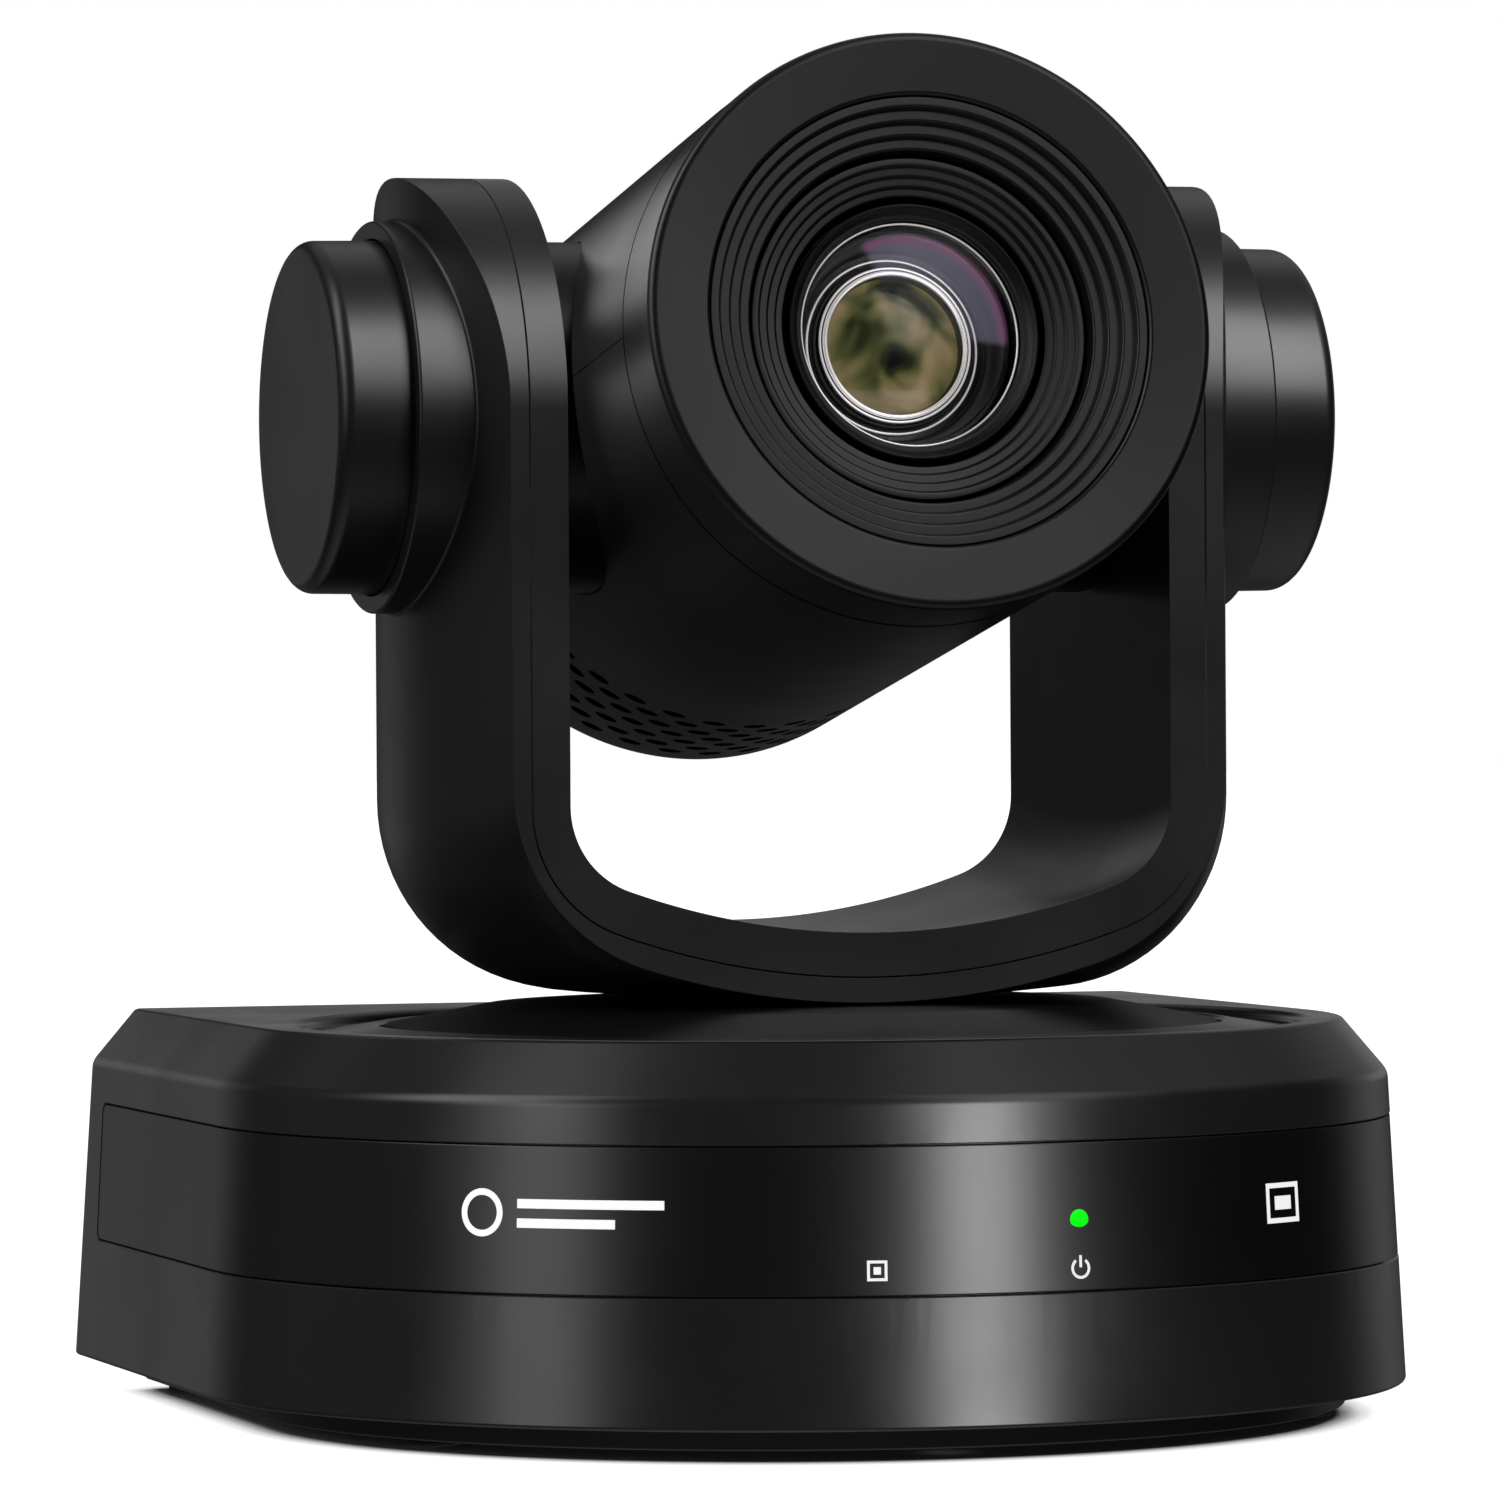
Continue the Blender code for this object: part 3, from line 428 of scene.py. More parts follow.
# -------- mesh tools
def piece(name, points, faces, look, body, replaces=(), slot=None, where=UPRIGHT, sharp=SHARP_ANGLE):
    """A named mesh from points in millimetres; it rides on body and stands for the CAD nodes."""
    mesh = bpy.data.meshes.new(name)
    mesh.from_pydata([where @ (Vector(point) * MM) for point in points], [], faces)
    work = bmesh.new()
    work.from_mesh(mesh)
    bmesh.ops.remove_doubles(work, verts=work.verts, dist=0.0005 * MM)
    bmesh.ops.recalc_face_normals(work, faces=work.faces)
    work.to_mesh(mesh)
    work.free()
    mesh.materials.append(LOOKS[look])
    mesh.shade_smooth()
    mesh.set_sharp_from_angle(angle=math.radians(sharp))
    made = bpy.data.objects.new(name, mesh)
    SCENE.collection.objects.link(made)
    if body is None:
        return made
    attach(made, body)
    if replaces:
        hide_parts(*replaces)
    return made


def tool(name, points, faces, where=UPRIGHT):
    """A cutter, removed again once it has cut."""
    return piece(name, points, faces, "dark", None, where=where)


def bake(made, sharp=SHARP_ANGLE):
    """Replaces an object's mesh by what its modifiers make of it."""
    bpy.context.view_layer.update()
    shape = made.evaluated_get(bpy.context.evaluated_depsgraph_get())
    mesh = bpy.data.meshes.new_from_object(shape)
    made.modifiers.clear()
    made.data = mesh
    mesh.shade_smooth()
    mesh.set_sharp_from_angle(angle=math.radians(sharp))
    return made


def cut(made, *cutters):
    """Takes the cutters' shapes out of an object, in order."""
    for cutter in cutters:
        step = made.modifiers.new(cutter.name, "BOOLEAN")
        step.operation = "DIFFERENCE"
        step.object = cutter
        step.solver = "EXACT"
    bake(made)
    for cutter in cutters:
        bpy.data.objects.remove(cutter)
    return made


def soften(made, radius_at, widest, segments=4, angle=30.0):
    """Rounds the sharp edges; radius_at gives each edge's radius in mm from its middle point."""
    mesh = made.data
    work = bmesh.new()
    work.from_mesh(mesh)
    weight = work.edges.layers.float.new("bevel_weight_edge")
    for edge in work.edges:
        if len(edge.link_faces) == 2 and edge.calc_face_angle(0.0) > math.radians(angle):
            middle = (edge.verts[0].co + edge.verts[1].co) / 2 / MM
            edge[weight] = min(1.0, radius_at(middle) / widest)
    work.to_mesh(mesh)
    work.free()
    step = made.modifiers.new("soft_edges", "BEVEL")
    step.limit_method = "WEIGHT"
    step.width = widest * MM
    step.segments = segments
    step.miter_outer = "MITER_ARC"
    return bake(made, 40.0)


def arc(centre, radius, start, end, steps):
    angles = [math.radians(start + (end - start) * i / steps) for i in range(steps + 1)]
    return [(centre[0] + radius * math.cos(a), centre[1] + radius * math.sin(a)) for a in angles]


def rounded(corners, steps=5):
    """A closed outline from (a, b, radius) corners, each rounded by an arc of its radius."""
    line = []
    for i, (a, b, radius) in enumerate(corners):
        here = Vector((a, b))
        if radius <= 0:
            line.append((a, b))
            continue
        before = (Vector(corners[i - 1][:2]) - here).normalized()
        after = (Vector(corners[(i + 1) % len(corners)][:2]) - here).normalized()
        half = before.angle(after) / 2
        centre = here + (before + after).normalized() * (radius / math.sin(half))
        start = here + before * (radius / math.tan(half)) - centre
        end = here + after * (radius / math.tan(half)) - centre
        first = math.atan2(start.y, start.x)
        sweep = (math.atan2(end.y, end.x) - first + math.pi) % (2 * math.pi) - math.pi
        for step in range(steps + 1):
            angle = first + sweep * step / steps
            line.append((centre.x + radius * math.cos(angle), centre.y + radius * math.sin(angle)))
    return line


def skin(loops, wrap=False):
    """Points and faces through closed loops of equal length; wrap joins the last to the first."""
    count = len(loops[0])
    points = [point for loop in loops for point in loop]
    faces = []
    for level in range(len(loops) - (0 if wrap else 1)):
        start = level * count
        above = (level + 1) % len(loops) * count
        for i in range(count):
            j = (i + 1) % count
            faces.append([start + i, start + j, above + j, above + i])
    if not wrap:
        faces += [list(range(count)), list(range(len(points) - count, len(points)))]
    return points, faces


def revolved(outline, segments=128, sweep=360.0):
    """Points and faces of a closed (radius, height) outline turned about local Z."""
    whole = sweep >= 360.0
    loops = []
    for column in range(segments if whole else segments + 1):
        angle = math.radians(sweep) * column / segments
        loops.append([(r * math.cos(angle), r * math.sin(angle), h) for r, h in outline])
    return skin(loops, whole)


def turned(name, corners, look, body, where=UPRIGHT, segments=128, steps=5, **more):
    """A ring or disc from (radius, height, rounding) corners turned about the local Z of where."""
    return piece(name, *revolved(rounded(corners, steps), segments), look, body, where=where, **more)


def together(shapes):
    """Points and faces of several closed shapes as one mesh."""
    points = []
    faces = []
    for shape_points, shape_faces in shapes:
        start = len(points)
        points += shape_points
        faces += [[start + i for i in face] for face in shape_faces]
    return points, faces


def box(low, high):
    """Points and faces of a plain box between two corners."""
    outline = [(low[0], low[1]), (high[0], low[1]), (high[0], high[1]), (low[0], high[1])]
    return skin([[(x, y, z) for x, y in outline] for z in (low[2], high[2])])


# -------- base
def base_plan(z, inset, rear_inset):
    """The base's D-shaped outline at height z: front arc, left side, rear, right side."""
    lean = DRAFT * (z - COVER_BOTTOM)
    half = BASE_HALF_WIDTH - lean - inset
    rear = BASE_REAR - lean - rear_inset
    turn_x = half - REAR_CORNER
    side_end = rear - REAR_CORNER
    run = side_end - BASE_ARC_CENTRE
    along_side = [BASE_ARC_CENTRE + run * i / SIDE_STEPS for i in range(1, SIDE_STEPS)]
    along_rear = [-turn_x + 2 * turn_x * i / REAR_STEPS for i in range(1, REAR_STEPS)]
    plan = arc((0, BASE_ARC_CENTRE), half, 0, -180, FRONT_STEPS)
    plan += [(-half, y) for y in along_side]
    plan += arc((-turn_x, side_end), REAR_CORNER, 180, 90, 6)
    plan += [(x, rear) for x in along_rear]
    plan += arc((turn_x, side_end), REAR_CORNER, 90, 0, 6)
    plan += [(half, y) for y in reversed(along_side)]
    return [(x, y, z) for x, y in plan]


def on_circle(plan, radius, z):
    """The points of a circle that face the points of a plan, seen from the origin."""
    return [(radius * x / math.hypot(x, y), radius * y / math.hypot(x, y), z) for x, y, _ in plan]


def rear_row_inset(inset, z):
    """The rear wall has no shoulder, only a small round at its top and bottom edges."""
    if z < SHOULDER_BOTTOM - 4:
        return inset
    over = max(0.0, z - (BASE_TOP - REAR_EDGE))
    return REAR_EDGE - math.sqrt(max(0.0, REAR_EDGE ** 2 - over ** 2))


def base_cover():
    """One skin: up the outside, over the shoulder, down through the moat, and back inside."""
    side = rounded([(COVER_WALL, COVER_BOTTOM, 0), (0, COVER_BOTTOM, 0.5), (0, SHOULDER_BOTTOM, 2.2),
                    (SHOULDER_INSET, BASE_TOP, 0.7), (8.0, BASE_TOP, 0)], 6)[1:-1]
    loops = [base_plan(z, inset, rear_row_inset(inset, z)) for inset, z in side]
    top_plan = loops[-1]
    moat_floor = BASE_TOP - MOAT_DEPTH
    hole = DISC_RADIUS + 0.3
    moat = rounded([(MOAT_RADIUS + 2.2, BASE_TOP, 0), (MOAT_RADIUS, BASE_TOP, 0.9),
                    (MOAT_RADIUS, moat_floor, 0.45), (MOAT_RADIUS - 1.2, moat_floor, 0.3),
                    (hole, BASE_TOP - 0.05, 0.5), (hole, BASE_TOP - COVER_WALL, 0)], 6)[1:]
    loops += [on_circle(top_plan, radius, z) for radius, z in moat]
    loops.append(base_plan(BASE_TOP - COVER_WALL, COVER_WALL + 4.0, COVER_WALL))
    loops.append(base_plan(SHOULDER_BOTTOM - 1.0, COVER_WALL, COVER_WALL))
    loops.append(base_plan(COVER_BOTTOM, COVER_WALL, COVER_WALL))
    cover = piece("cover_fine", *skin(loops, True), "base_shell", "base", ["base_cover"], slot="shell")
    seat = tool("seat_cutter", *window_strip(-3.0, 1.7, 0.0, flare=0.12))
    wide, tall = (half + 0.2 for half in PANEL_HALF)
    rear = tool("rear_cutter", *box((-wide, 58, PANEL_MIDDLE - tall), (wide, 80, PANEL_MIDDLE + tall)))
    cut(cover, seat, rear)


def window_strip(outer, inner, gap, flare=0.0, edge=0.0):
    """A band round the sides and front, between two insets, with rounded ends.

    gap is taken off all round; flare widens it outwards from that inset; edge rounds its outer edges.
    """
    end = WINDOW_END - gap
    run = end - BASE_ARC_CENTRE
    near_end = [WINDOW_CORNER * (1 - math.cos(math.pi / 2 * i / 6)) for i in range(7)]
    distances = near_end + [WINDOW_CORNER + (run - WINDOW_CORNER) * i / 20 for i in range(1, 20)]
    stations = [(1, distance, 0.0) for distance in distances]
    stations += [(0, run, -math.pi * i / FRONT_STEPS) for i in range(FRONT_STEPS + 1)]
    stations += [(-1, distance, 0.0) for distance in reversed(distances)]
    loops = []
    for side, distance, angle in stations:
        short = max(0.0, WINDOW_CORNER - distance)
        pull = WINDOW_CORNER - math.sqrt(WINDOW_CORNER ** 2 - short ** 2) + gap
        low = WINDOW_BOTTOM + pull
        high = WINDOW_TOP - pull
        if flare:
            spread = flare - outer
            ring = [(outer, low - spread), (outer, high + spread), (flare, high), (inner, high),
                    (inner, low), (flare, low)]
        else:
            ring = rounded([(outer, low, edge), (outer, high, edge), (inner, high, 0), (inner, low, 0)], 3)
        loop = []
        for inset, z in ring:
            half = BASE_HALF_WIDTH - DRAFT * (z - COVER_BOTTOM) - inset
            if side:
                loop.append((side * half, end - distance, z))
            else:
                loop.append((half * math.cos(angle), BASE_ARC_CENTRE + half * math.sin(angle), z))
        loops.append(loop)
    return skin(loops)


def ir_window():
    strip = window_strip(WINDOW_SUNK, 1.5, WINDOW_GAP, edge=0.18)
    piece("window_fine", *strip, "window", "base", ["ir_window"])


def on_window(angle, z, lift):
    """A point on the window's outer face; angle is from straight ahead, towards +X."""
    radius = BASE_HALF_WIDTH - DRAFT * (z - COVER_BOTTOM) - WINDOW_SUNK + lift
    return (radius * math.sin(math.radians(angle)),
            BASE_ARC_CENTRE - radius * math.cos(math.radians(angle)), z)


def printed(name, angle, z, patches):
    """Flat marks on the window: patches are lists of (u, v) corners in mm about the given place."""
    per_mm = math.degrees(1 / (BASE_HALF_WIDTH - 1))
    shapes = [skin([[on_window(angle + u * per_mm, z + v, lift) for u, v in patch] for lift in PRINT_LIFTS])
              for patch in patches]
    piece(name, *together(shapes), "print", "base", slot="nylon")


def bar(u, v, width, height, step=0.5):
    """A bar as a row of narrow patches, so that it follows the curved window."""
    count = max(1, round(width / step))
    wide = width / count
    return [[(u + wide * i, v), (u + wide * (i + 1), v), (u + wide * (i + 1), v + height),
             (u + wide * i, v + height)] for i in range(count)]


def ring_marks(u, v, outer, inner, start=0.0, end=360.0, steps=40):
    patches = []
    for i in range(steps):
        a, b = (math.radians(start + (end - start) * (i + k) / steps) for k in (0, 1))
        patches.append([(u + r * math.cos(t), v + r * math.sin(t))
                        for r, t in ((inner, a), (outer, a), (outer, b), (inner, b))])
    return patches


def framed_block(wide, tall, line, block_wide, block_tall):
    """A frame of the given half sizes and line width, round a solid block."""
    gap = 2 * (tall - line)
    patches = bar(-wide, -tall, 2 * wide, line) + bar(-wide, tall - line, 2 * wide, line)
    patches += bar(-wide, line - tall, line, gap) + bar(wide - line, line - tall, line, gap)
    return patches + bar(-block_wide, -block_tall, 2 * block_wide, 2 * block_tall)


def window_marks():
    """Plain signs: a ring with two bars, a small frame, the sign for power, and a framed block."""
    ring_and_bars = ring_marks(-9.0, 0, 2.6, 1.9) + bar(-4.6, 0.55, 17.0, 1.0) + bar(-4.6, -1.55, 11.5, 1.0)
    printed("mark_ring_and_bars", -39.5, 27.0, ring_and_bars)
    printed("mark_receiver", -10.1, 21.0, framed_block(1.1, 1.1, 0.3, 0.4, 0.4))
    power_sign = ring_marks(0, 0, 1.15, 0.85, 125, 415) + bar(-0.15, 0.1, 0.3, 1.3)
    printed("mark_power", LED_ANGLE, 20.7, power_sign)
    printed("mark_block", 34.0, 26.5, framed_block(3.0, 2.2, 0.55, 1.5, 0.75))


def indicator():
    """A domed green lens that comes just through the window."""
    place = on_window(LED_ANGLE, LED_HEIGHT, 0.0)
    face = shift(*place) @ turn(LED_ANGLE, "Z") @ turn(90, "X")
    turned("led_lens", [(0, -4, 0), (1.15, -4, 0), (1.15, 0.0, 0.1), (0, 0.12, 0)], "led", "base", face, 48,
           replaces=["power_led"])


def bottom_plate():
    rows = rounded([(9.5, PLATE_BOTTOM + 0.6, 0), (9.5, PLATE_BOTTOM, 0), (7.2, PLATE_BOTTOM, 0.35),
                    (6.3, 3.9, 0.2), (3.3, 4.3, 0), (3.3, 6.6, 0), (9.5, 6.6, 0)], 4)
    loops = [base_plan(z, inset, inset) for inset, z in rows]
    plate = piece("plate_fine", *skin(loops[1:-1]), "dark", "base", ["bottom_plate"])
    holes = [(x, y, *FOOT_SEAT) for x, y in FEET] + [(x, y, *SCREW_SEAT) for x, y in SCREWS]
    holes.append((0, 0, *INSERT_SEAT))
    cutters = [tool(f"hole_{i}", *revolved([(0, -2), (radius, -2), (radius, top), (0, top)], 48),
                    where=shift(x, y, 0)) for i, (x, y, radius, top) in enumerate(holes)]
    cutters += [tool(f"groove_{x}", *box((x - 0.6, -40, 0.6), (x + 0.6, 46, PLATE_BOTTOM + 0.35)))
                for x in GROOVES]
    cut(plate, *cutters)


def feet_and_screws():
    for number, (x, y) in enumerate(FEET, 1):
        turned(f"foot_{number}", [(0, 0.25, 0), (2.6, 0.25, 0.2), (2.9, 0, 0.2), (5.0, 0, 0.6),
                                  (5.0, 2.1, 0.2), (0, 2.1, 0)], "rubber", "base", shift(x, y, 0), 64,
               replaces=[f"rubber_foot_{number}"])
    for number, (x, y) in enumerate(SCREWS, 1):
        screw = turned(f"screw_{number}", [(0, 1.45, 0), (2.3, 1.55, 0.3), (2.8, 2.0, 0.2), (2.8, 3.1, 0),
                                           (0, 3.1, 0)], "steel", "base", shift(x, y, 0), 64,
                       replaces=[f"bottom_screw_{number}"])
        cut(screw, *[tool(f"slot_{half}", *box((x - half, y - other, 0), (x + half, y + other, 2.4)))
                     for half, other in ((1.5, 0.3), (0.3, 1.5))])


def tripod_insert():
    outline = [(5.0, PLATE_BOTTOM + 0.1, 0.2), (5.0, 7.6, 0), (0, 7.6, 0), (0, 6.6, 0),
               (TAPPED_RADIUS, 6.6, 0)]
    for i in range(THREAD_TURNS):
        height = 6.3 - i * THREAD_PITCH
        outline += [(TAPPED_RADIUS + 0.35, height - 0.1, 0), (TAPPED_RADIUS, height - 0.4, 0)]
    outline += [(TAPPED_RADIUS, PLATE_BOTTOM + 0.45, 0), (TAPPED_RADIUS + 0.4, PLATE_BOTTOM + 0.1, 0)]
    turned("insert_fine", outline, "brass", "base", replaces=["tripod_insert"], segments=64)


# -------- back of the base
def rounded_block(x, z, wide, tall, back, face, radius, steps=4):
    """Points and faces of a block along Y about (x, z), of half width wide and half height tall."""
    outline = rounded([(x - wide, z - tall, radius), (x + wide, z - tall, radius),
                       (x + wide, z + tall, radius), (x - wide, z + tall, radius)], steps)
    return skin([[(a, y, b) for a, b in outline] for y in (back, face)])


def soften_face(made, face, radius, segments=2):
    """Rounds only the edges of the flat face at depth face."""
    soften(made, lambda middle: radius if middle.y > face - 0.1 else 0.0, radius, segments)


def connector_place(node):
    """A connector's middle (x, z) and its half width and half height."""
    x, width, height = CONNECTORS[node]
    return x, CONNECTOR_LOW + height / 2, width / 2, height / 2


def connector_block(name, node, corner, look):
    return piece(name, *rounded_block(*connector_place(node), CONNECTOR_BACK, CONNECTOR_FACE, corner), look,
                 "base", [node])


def rear_panel():
    panel = piece("panel_fine", *rounded_block(0, PANEL_MIDDLE, *PANEL_HALF, PANEL_BACK, PANEL_FACE, 1.2),
                  "dark", "base", ["rear_panel"])
    openings = [(*connector_place(node), 0.25, 0.6) for node in CONNECTORS]
    openings.append((SWITCH_X, SWITCH_Z, *SWITCH_HALF, 0.2, 0.8))
    cutters = [tool(f"opening_{i}", *rounded_block(x, z, wide + gap, tall + gap, 60, CUT_BEYOND, radius))
               for i, (x, z, wide, tall, gap, radius) in enumerate(openings)]
    cut(panel, *cutters)
    soften_face(panel, PANEL_FACE, 0.3, 3)


def power_inlet():
    x, z, _, _ = connector_place("dc_inlet")
    facing = shift(x, 0, z) @ turn(-90, "X")
    inlet = connector_block("dc_fine", "dc_inlet", 0.8, "dark")
    bore = [(0, SOCKET_FLOOR), (2.8, SOCKET_FLOOR), (2.8, 67.8), (3.3, 68.7), (0, 68.7)]
    cut(inlet, tool("dc_bore", *revolved(bore, 48), where=facing))
    turned("dc_pin", [(0, 55.2, 0), (0.9, 55.2, 0), (0.9, 66.2, 0.5), (0, 66.2, 0)], "steel", "base",
           facing, 32)
    soften_face(inlet, CONNECTOR_FACE, 0.25)


def video_port():
    x, z, wide, _ = connector_place("hdmi_port")
    half = wide - 0.8
    port = connector_block("hdmi_fine", "hdmi_port", 0.5, "steel")
    mouth = [(x - half, z + 2.3), (x + half, z + 2.3), (x + half, z - 0.7), (x + half - 1.9, z - 2.3),
             (x - half + 1.9, z - 2.3), (x - half, z - 0.7)]
    cut(port, tool("hdmi_mouth", *skin([[(a, y, b) for a, b in mouth] for y in (SOCKET_FLOOR, CUT_BEYOND)])))
    piece("hdmi_tongue", *rounded_block(x, z + 0.3, 5, 0.6, SOCKET_FLOOR, 66.8, 0.3), "dark", "base",
          slot="dark")
    soften_face(port, CONNECTOR_FACE, 0.15)


def network_port():
    x, z, _, _ = connector_place("lan_port")
    port = connector_block("lan_fine", "lan_port", 0.5, "steel")
    openings = [((x - 6, SOCKET_FLOOR, z - 4), (x + 6, CUT_BEYOND, z + 4)),
                ((x - 3, SOCKET_FLOOR, z + 3.9), (x + 3, CUT_BEYOND, z + 5.6)),
                ((x - 7.2, 67.4, z + 4.2), (x - 4.2, CUT_BEYOND, z + 6.2)),
                ((x + 4.2, 67.4, z + 4.2), (x + 7.2, CUT_BEYOND, z + 6.2))]
    cut(port, *[tool(f"opening_{i}", *box(*corners)) for i, corners in enumerate(openings)])
    for number in range(8):
        contact = rounded_block(x + (number - 3.5) * 1.02, z - 3.6, 0.22, 0.3, 57.2, 65.2, 0.1, 2)
        piece(f"lan_contact_{number}", *contact, "brass", "base")
    for number, across in enumerate((x - 5.7, x + 5.7)):
        light = rounded_block(across, z + 5.2, 1.35, 0.85, 66.6, 68.0, 0.3)
        piece(f"lan_light_{number}", *light, "nylon", "base")
    soften_face(port, CONNECTOR_FACE, 0.2)


def power_switch():
    wide, tall = SWITCH_HALF
    outside = rounded_block(SWITCH_X, SWITCH_Z, wide, tall, SOCKET_FLOOR, CONNECTOR_FACE, 0.8)
    well = rounded_block(SWITCH_X, SWITCH_Z, wide - SWITCH_RIM, tall - SWITCH_RIM, 59.2, CUT_BEYOND, 0.4)
    surround = piece("switch_fine", *outside, "dark", "base", ["switch_frame"])
    cut(surround, tool("well", *well))
    soften_face(surround, CONNECTOR_FACE, 0.35, 3)
    half = wide - SWITCH_RIM - 0.3
    reach = tall - 2.5
    dish = [(z, 0.6 + (z / reach) ** 2) for z in [-reach + 2 * reach * i / 24 for i in range(25)]]
    outline = rounded([(-reach, -0.6, 0.3), (-3.0, -2.6, 0.5), (3.0, -2.6, 0.5), (reach, -0.6, 0.3)], 4)
    outline = [(z, y) for z, y in reversed(dish)] + outline
    pivot = shift(SWITCH_X, ROCKER_AXIS, SWITCH_Z)
    rocker = piece("rocker_fine", *skin([[(x, y, z) for z, y in outline] for x in (-half, half)]), "dark",
                   "switch", ["power_rocker"], where=pivot)
    soften(rocker, lambda middle: 0.3, 0.3, 3, angle=40)
    piece("rocker_on_sign", *box((-0.25, 0.66, 2.6), (0.25, 1.08, 5.0)), "print", "switch", slot="nylon",
          where=pivot)
    turned("rocker_off_sign", [(1.3, 0.6, 0), (1.3, 0.98, 0), (0.9, 0.98, 0), (0.9, 0.6, 0)], "print",
           "switch", pivot @ shift(0, 0, -3.8) @ turn(-90 + 9, "X"), 40, slot="nylon")


# -------- turntable and yoke
def turntable():
    corners = [(5.5, DISC_TOP, 0), (28, DISC_TOP, 0), (36, DISC_TOP - 0.45, 6), (47.9, BASE_TOP - 0.25, 0.5),
               (DISC_RADIUS, 43.4, 0), (32, 45.0, 0), (5.5, 45.3, 0)]
    turned("disc_fine", corners, "shell", "yoke", replaces=["turntable_disc"], segments=192)


def u_curve(half_width, bottom, bottom_radius, corner_radius, top, corner_steps=18, bottom_steps=30):
    """Right arm top to left arm top: straight arms, round corners, a shallow curved bottom."""
    reach = bottom_radius - corner_radius
    across = half_width - corner_radius
    big_z = bottom + bottom_radius
    corner_z = big_z - math.sqrt(reach ** 2 - across ** 2)
    lean = math.degrees(math.atan2(across, big_z - corner_z))
    straight = [(half_width, top + (corner_z - top) * i / 8) for i in range(8)]
    corner = arc((across, corner_z), corner_radius, 0, lean - 90, corner_steps)
    bottom_arc = arc((0, big_z), bottom_radius, lean - 90, -90, bottom_steps)[1:]
    right = straight + corner + bottom_arc
    return right + [(-x, z) for x, z in reversed(right[:-1])]


def inner_curve(y, top):
    dish = FLOOR_DISH * (1 - (y / ARM_DEPTH) ** 2)
    return u_curve(ARM_INNER, FLOOR_EDGE - dish, FLOOR_RADIUS, FLOOR_CORNER, top)


def seam_curve(offset, top):
    return u_curve(ARM_SEAM + offset, SEAM_BOTTOM - offset, SEAM_RADIUS + offset, SEAM_CORNER + offset, top)


def outer_curve(y, top):
    share = 1 - (y / ARM_DEPTH) ** 2
    return u_curve(arm_face(y), YOKE_BOTTOM, YOKE_RADIUS + YOKE_FLATTER * share, YOKE_CORNER, top)


def u_band(name, outside, inside, replaces, stations=49):
    """A U between two curves; the arms end in a half round about the tilt axis."""
    loops = []
    for i in range(stations):
        angle = math.pi * (i / (stations - 1) - 0.5)
        y = ARM_DEPTH * math.sin(angle)
        top = TILT_HEIGHT + ARM_TOP * math.cos(angle)
        loops.append([(x, y, z) for x, z in outside(y, top) + list(reversed(inside(y, top)))])
    return piece(name, *skin(loops), "shell", "yoke", replaces)


def yoke():
    outer = u_band("yoke_outer_fine", outer_curve, lambda y, top: seam_curve(SEAM_GAP, top),
                   ["yoke_outer_shell"])
    soften(outer, lambda middle: 0.75 if beyond_seam(middle) > 1.2 else 0.12, 0.75, angle=24)
    inner = u_band("yoke_inner_fine", lambda y, top: seam_curve(-SEAM_GAP, top), inner_curve,
                   ["yoke_inner_shell"])
    soften(inner, lambda middle: 0.55 if beyond_seam(middle) < -1.2 else 0.12, 0.55, angle=24)


def beyond_seam(middle):
    """About how far outside the seam between the yoke's shells a point lies."""
    if middle.z > ARM_STRAIGHT_FROM:
        return abs(middle.x) - ARM_SEAM
    here = (middle.x, middle.z)
    nearest = min(seam_curve(0, ARM_STRAIGHT_FROM + 5), key=lambda point: math.dist(point, here))
    gap = math.dist(nearest, here)
    centre = (0, ARM_STRAIGHT_FROM + 15)
    return gap if math.dist(here, centre) > math.dist(nearest, centre) else -gap


def arm_face(y):
    """How far out the crowned outer face of an arm lies at depth y."""
    return ARM_OUTER_EDGE + (ARM_OUTER_CROWN - ARM_OUTER_EDGE) * (1 - (y / ARM_DEPTH) ** 2)


def cap_ring(side_name, fillet=0.55, segments=160):
    """The raised ring round a side cap, blended into the crowned face by a small fillet."""
    loops = []
    for column in range(segments):
        angle = 2 * math.pi * column / segments
        base = arm_face((RING_RADIUS + fillet) * math.sin(angle))
        outline = [(CAP_RADIUS - 1.4, base - 2.5), (RING_RADIUS + fillet, base - 2.5)]
        outline += arc((RING_RADIUS + fillet, base + fillet), fillet, -90, -180, 6)
        outline += arc((RING_RADIUS - 0.4, RING_END - 0.4), 0.4, 0, 90, 5)
        outline += arc((CAP_RADIUS + 0.35, RING_END - 0.25), 0.25, 90, 180, 3)
        outline += [(CAP_RADIUS + 0.1, RING_END - 1.6), (CAP_RADIUS - 1.4, RING_END - 1.6)]
        loops.append([(radius * math.cos(angle), radius * math.sin(angle), height)
                      for radius, height in outline])
    piece(f"cap_ring_{side_name}", *skin(loops, True), "shell", "yoke", where=SIDES[side_name])


def side_cap(side_name):
    corners = [(0, CAP_END - 0.15, 0), (15.5, CAP_END - 0.1, 4), (CAP_RADIUS - 0.1, CAP_END, 1.7),
               (CAP_RADIUS, RING_END - 1.0, 0), (CAP_RADIUS - 2.2, RING_END - 1.0, 0),
               (CAP_RADIUS - 2.2, CAP_END - 2.2, 0.5), (0, CAP_END - 2.2, 0)]
    turned(f"cap_{side_name}", corners, "shell", "yoke", SIDES[side_name], 160, 8,
           replaces=[f"side_cap_{side_name}"])


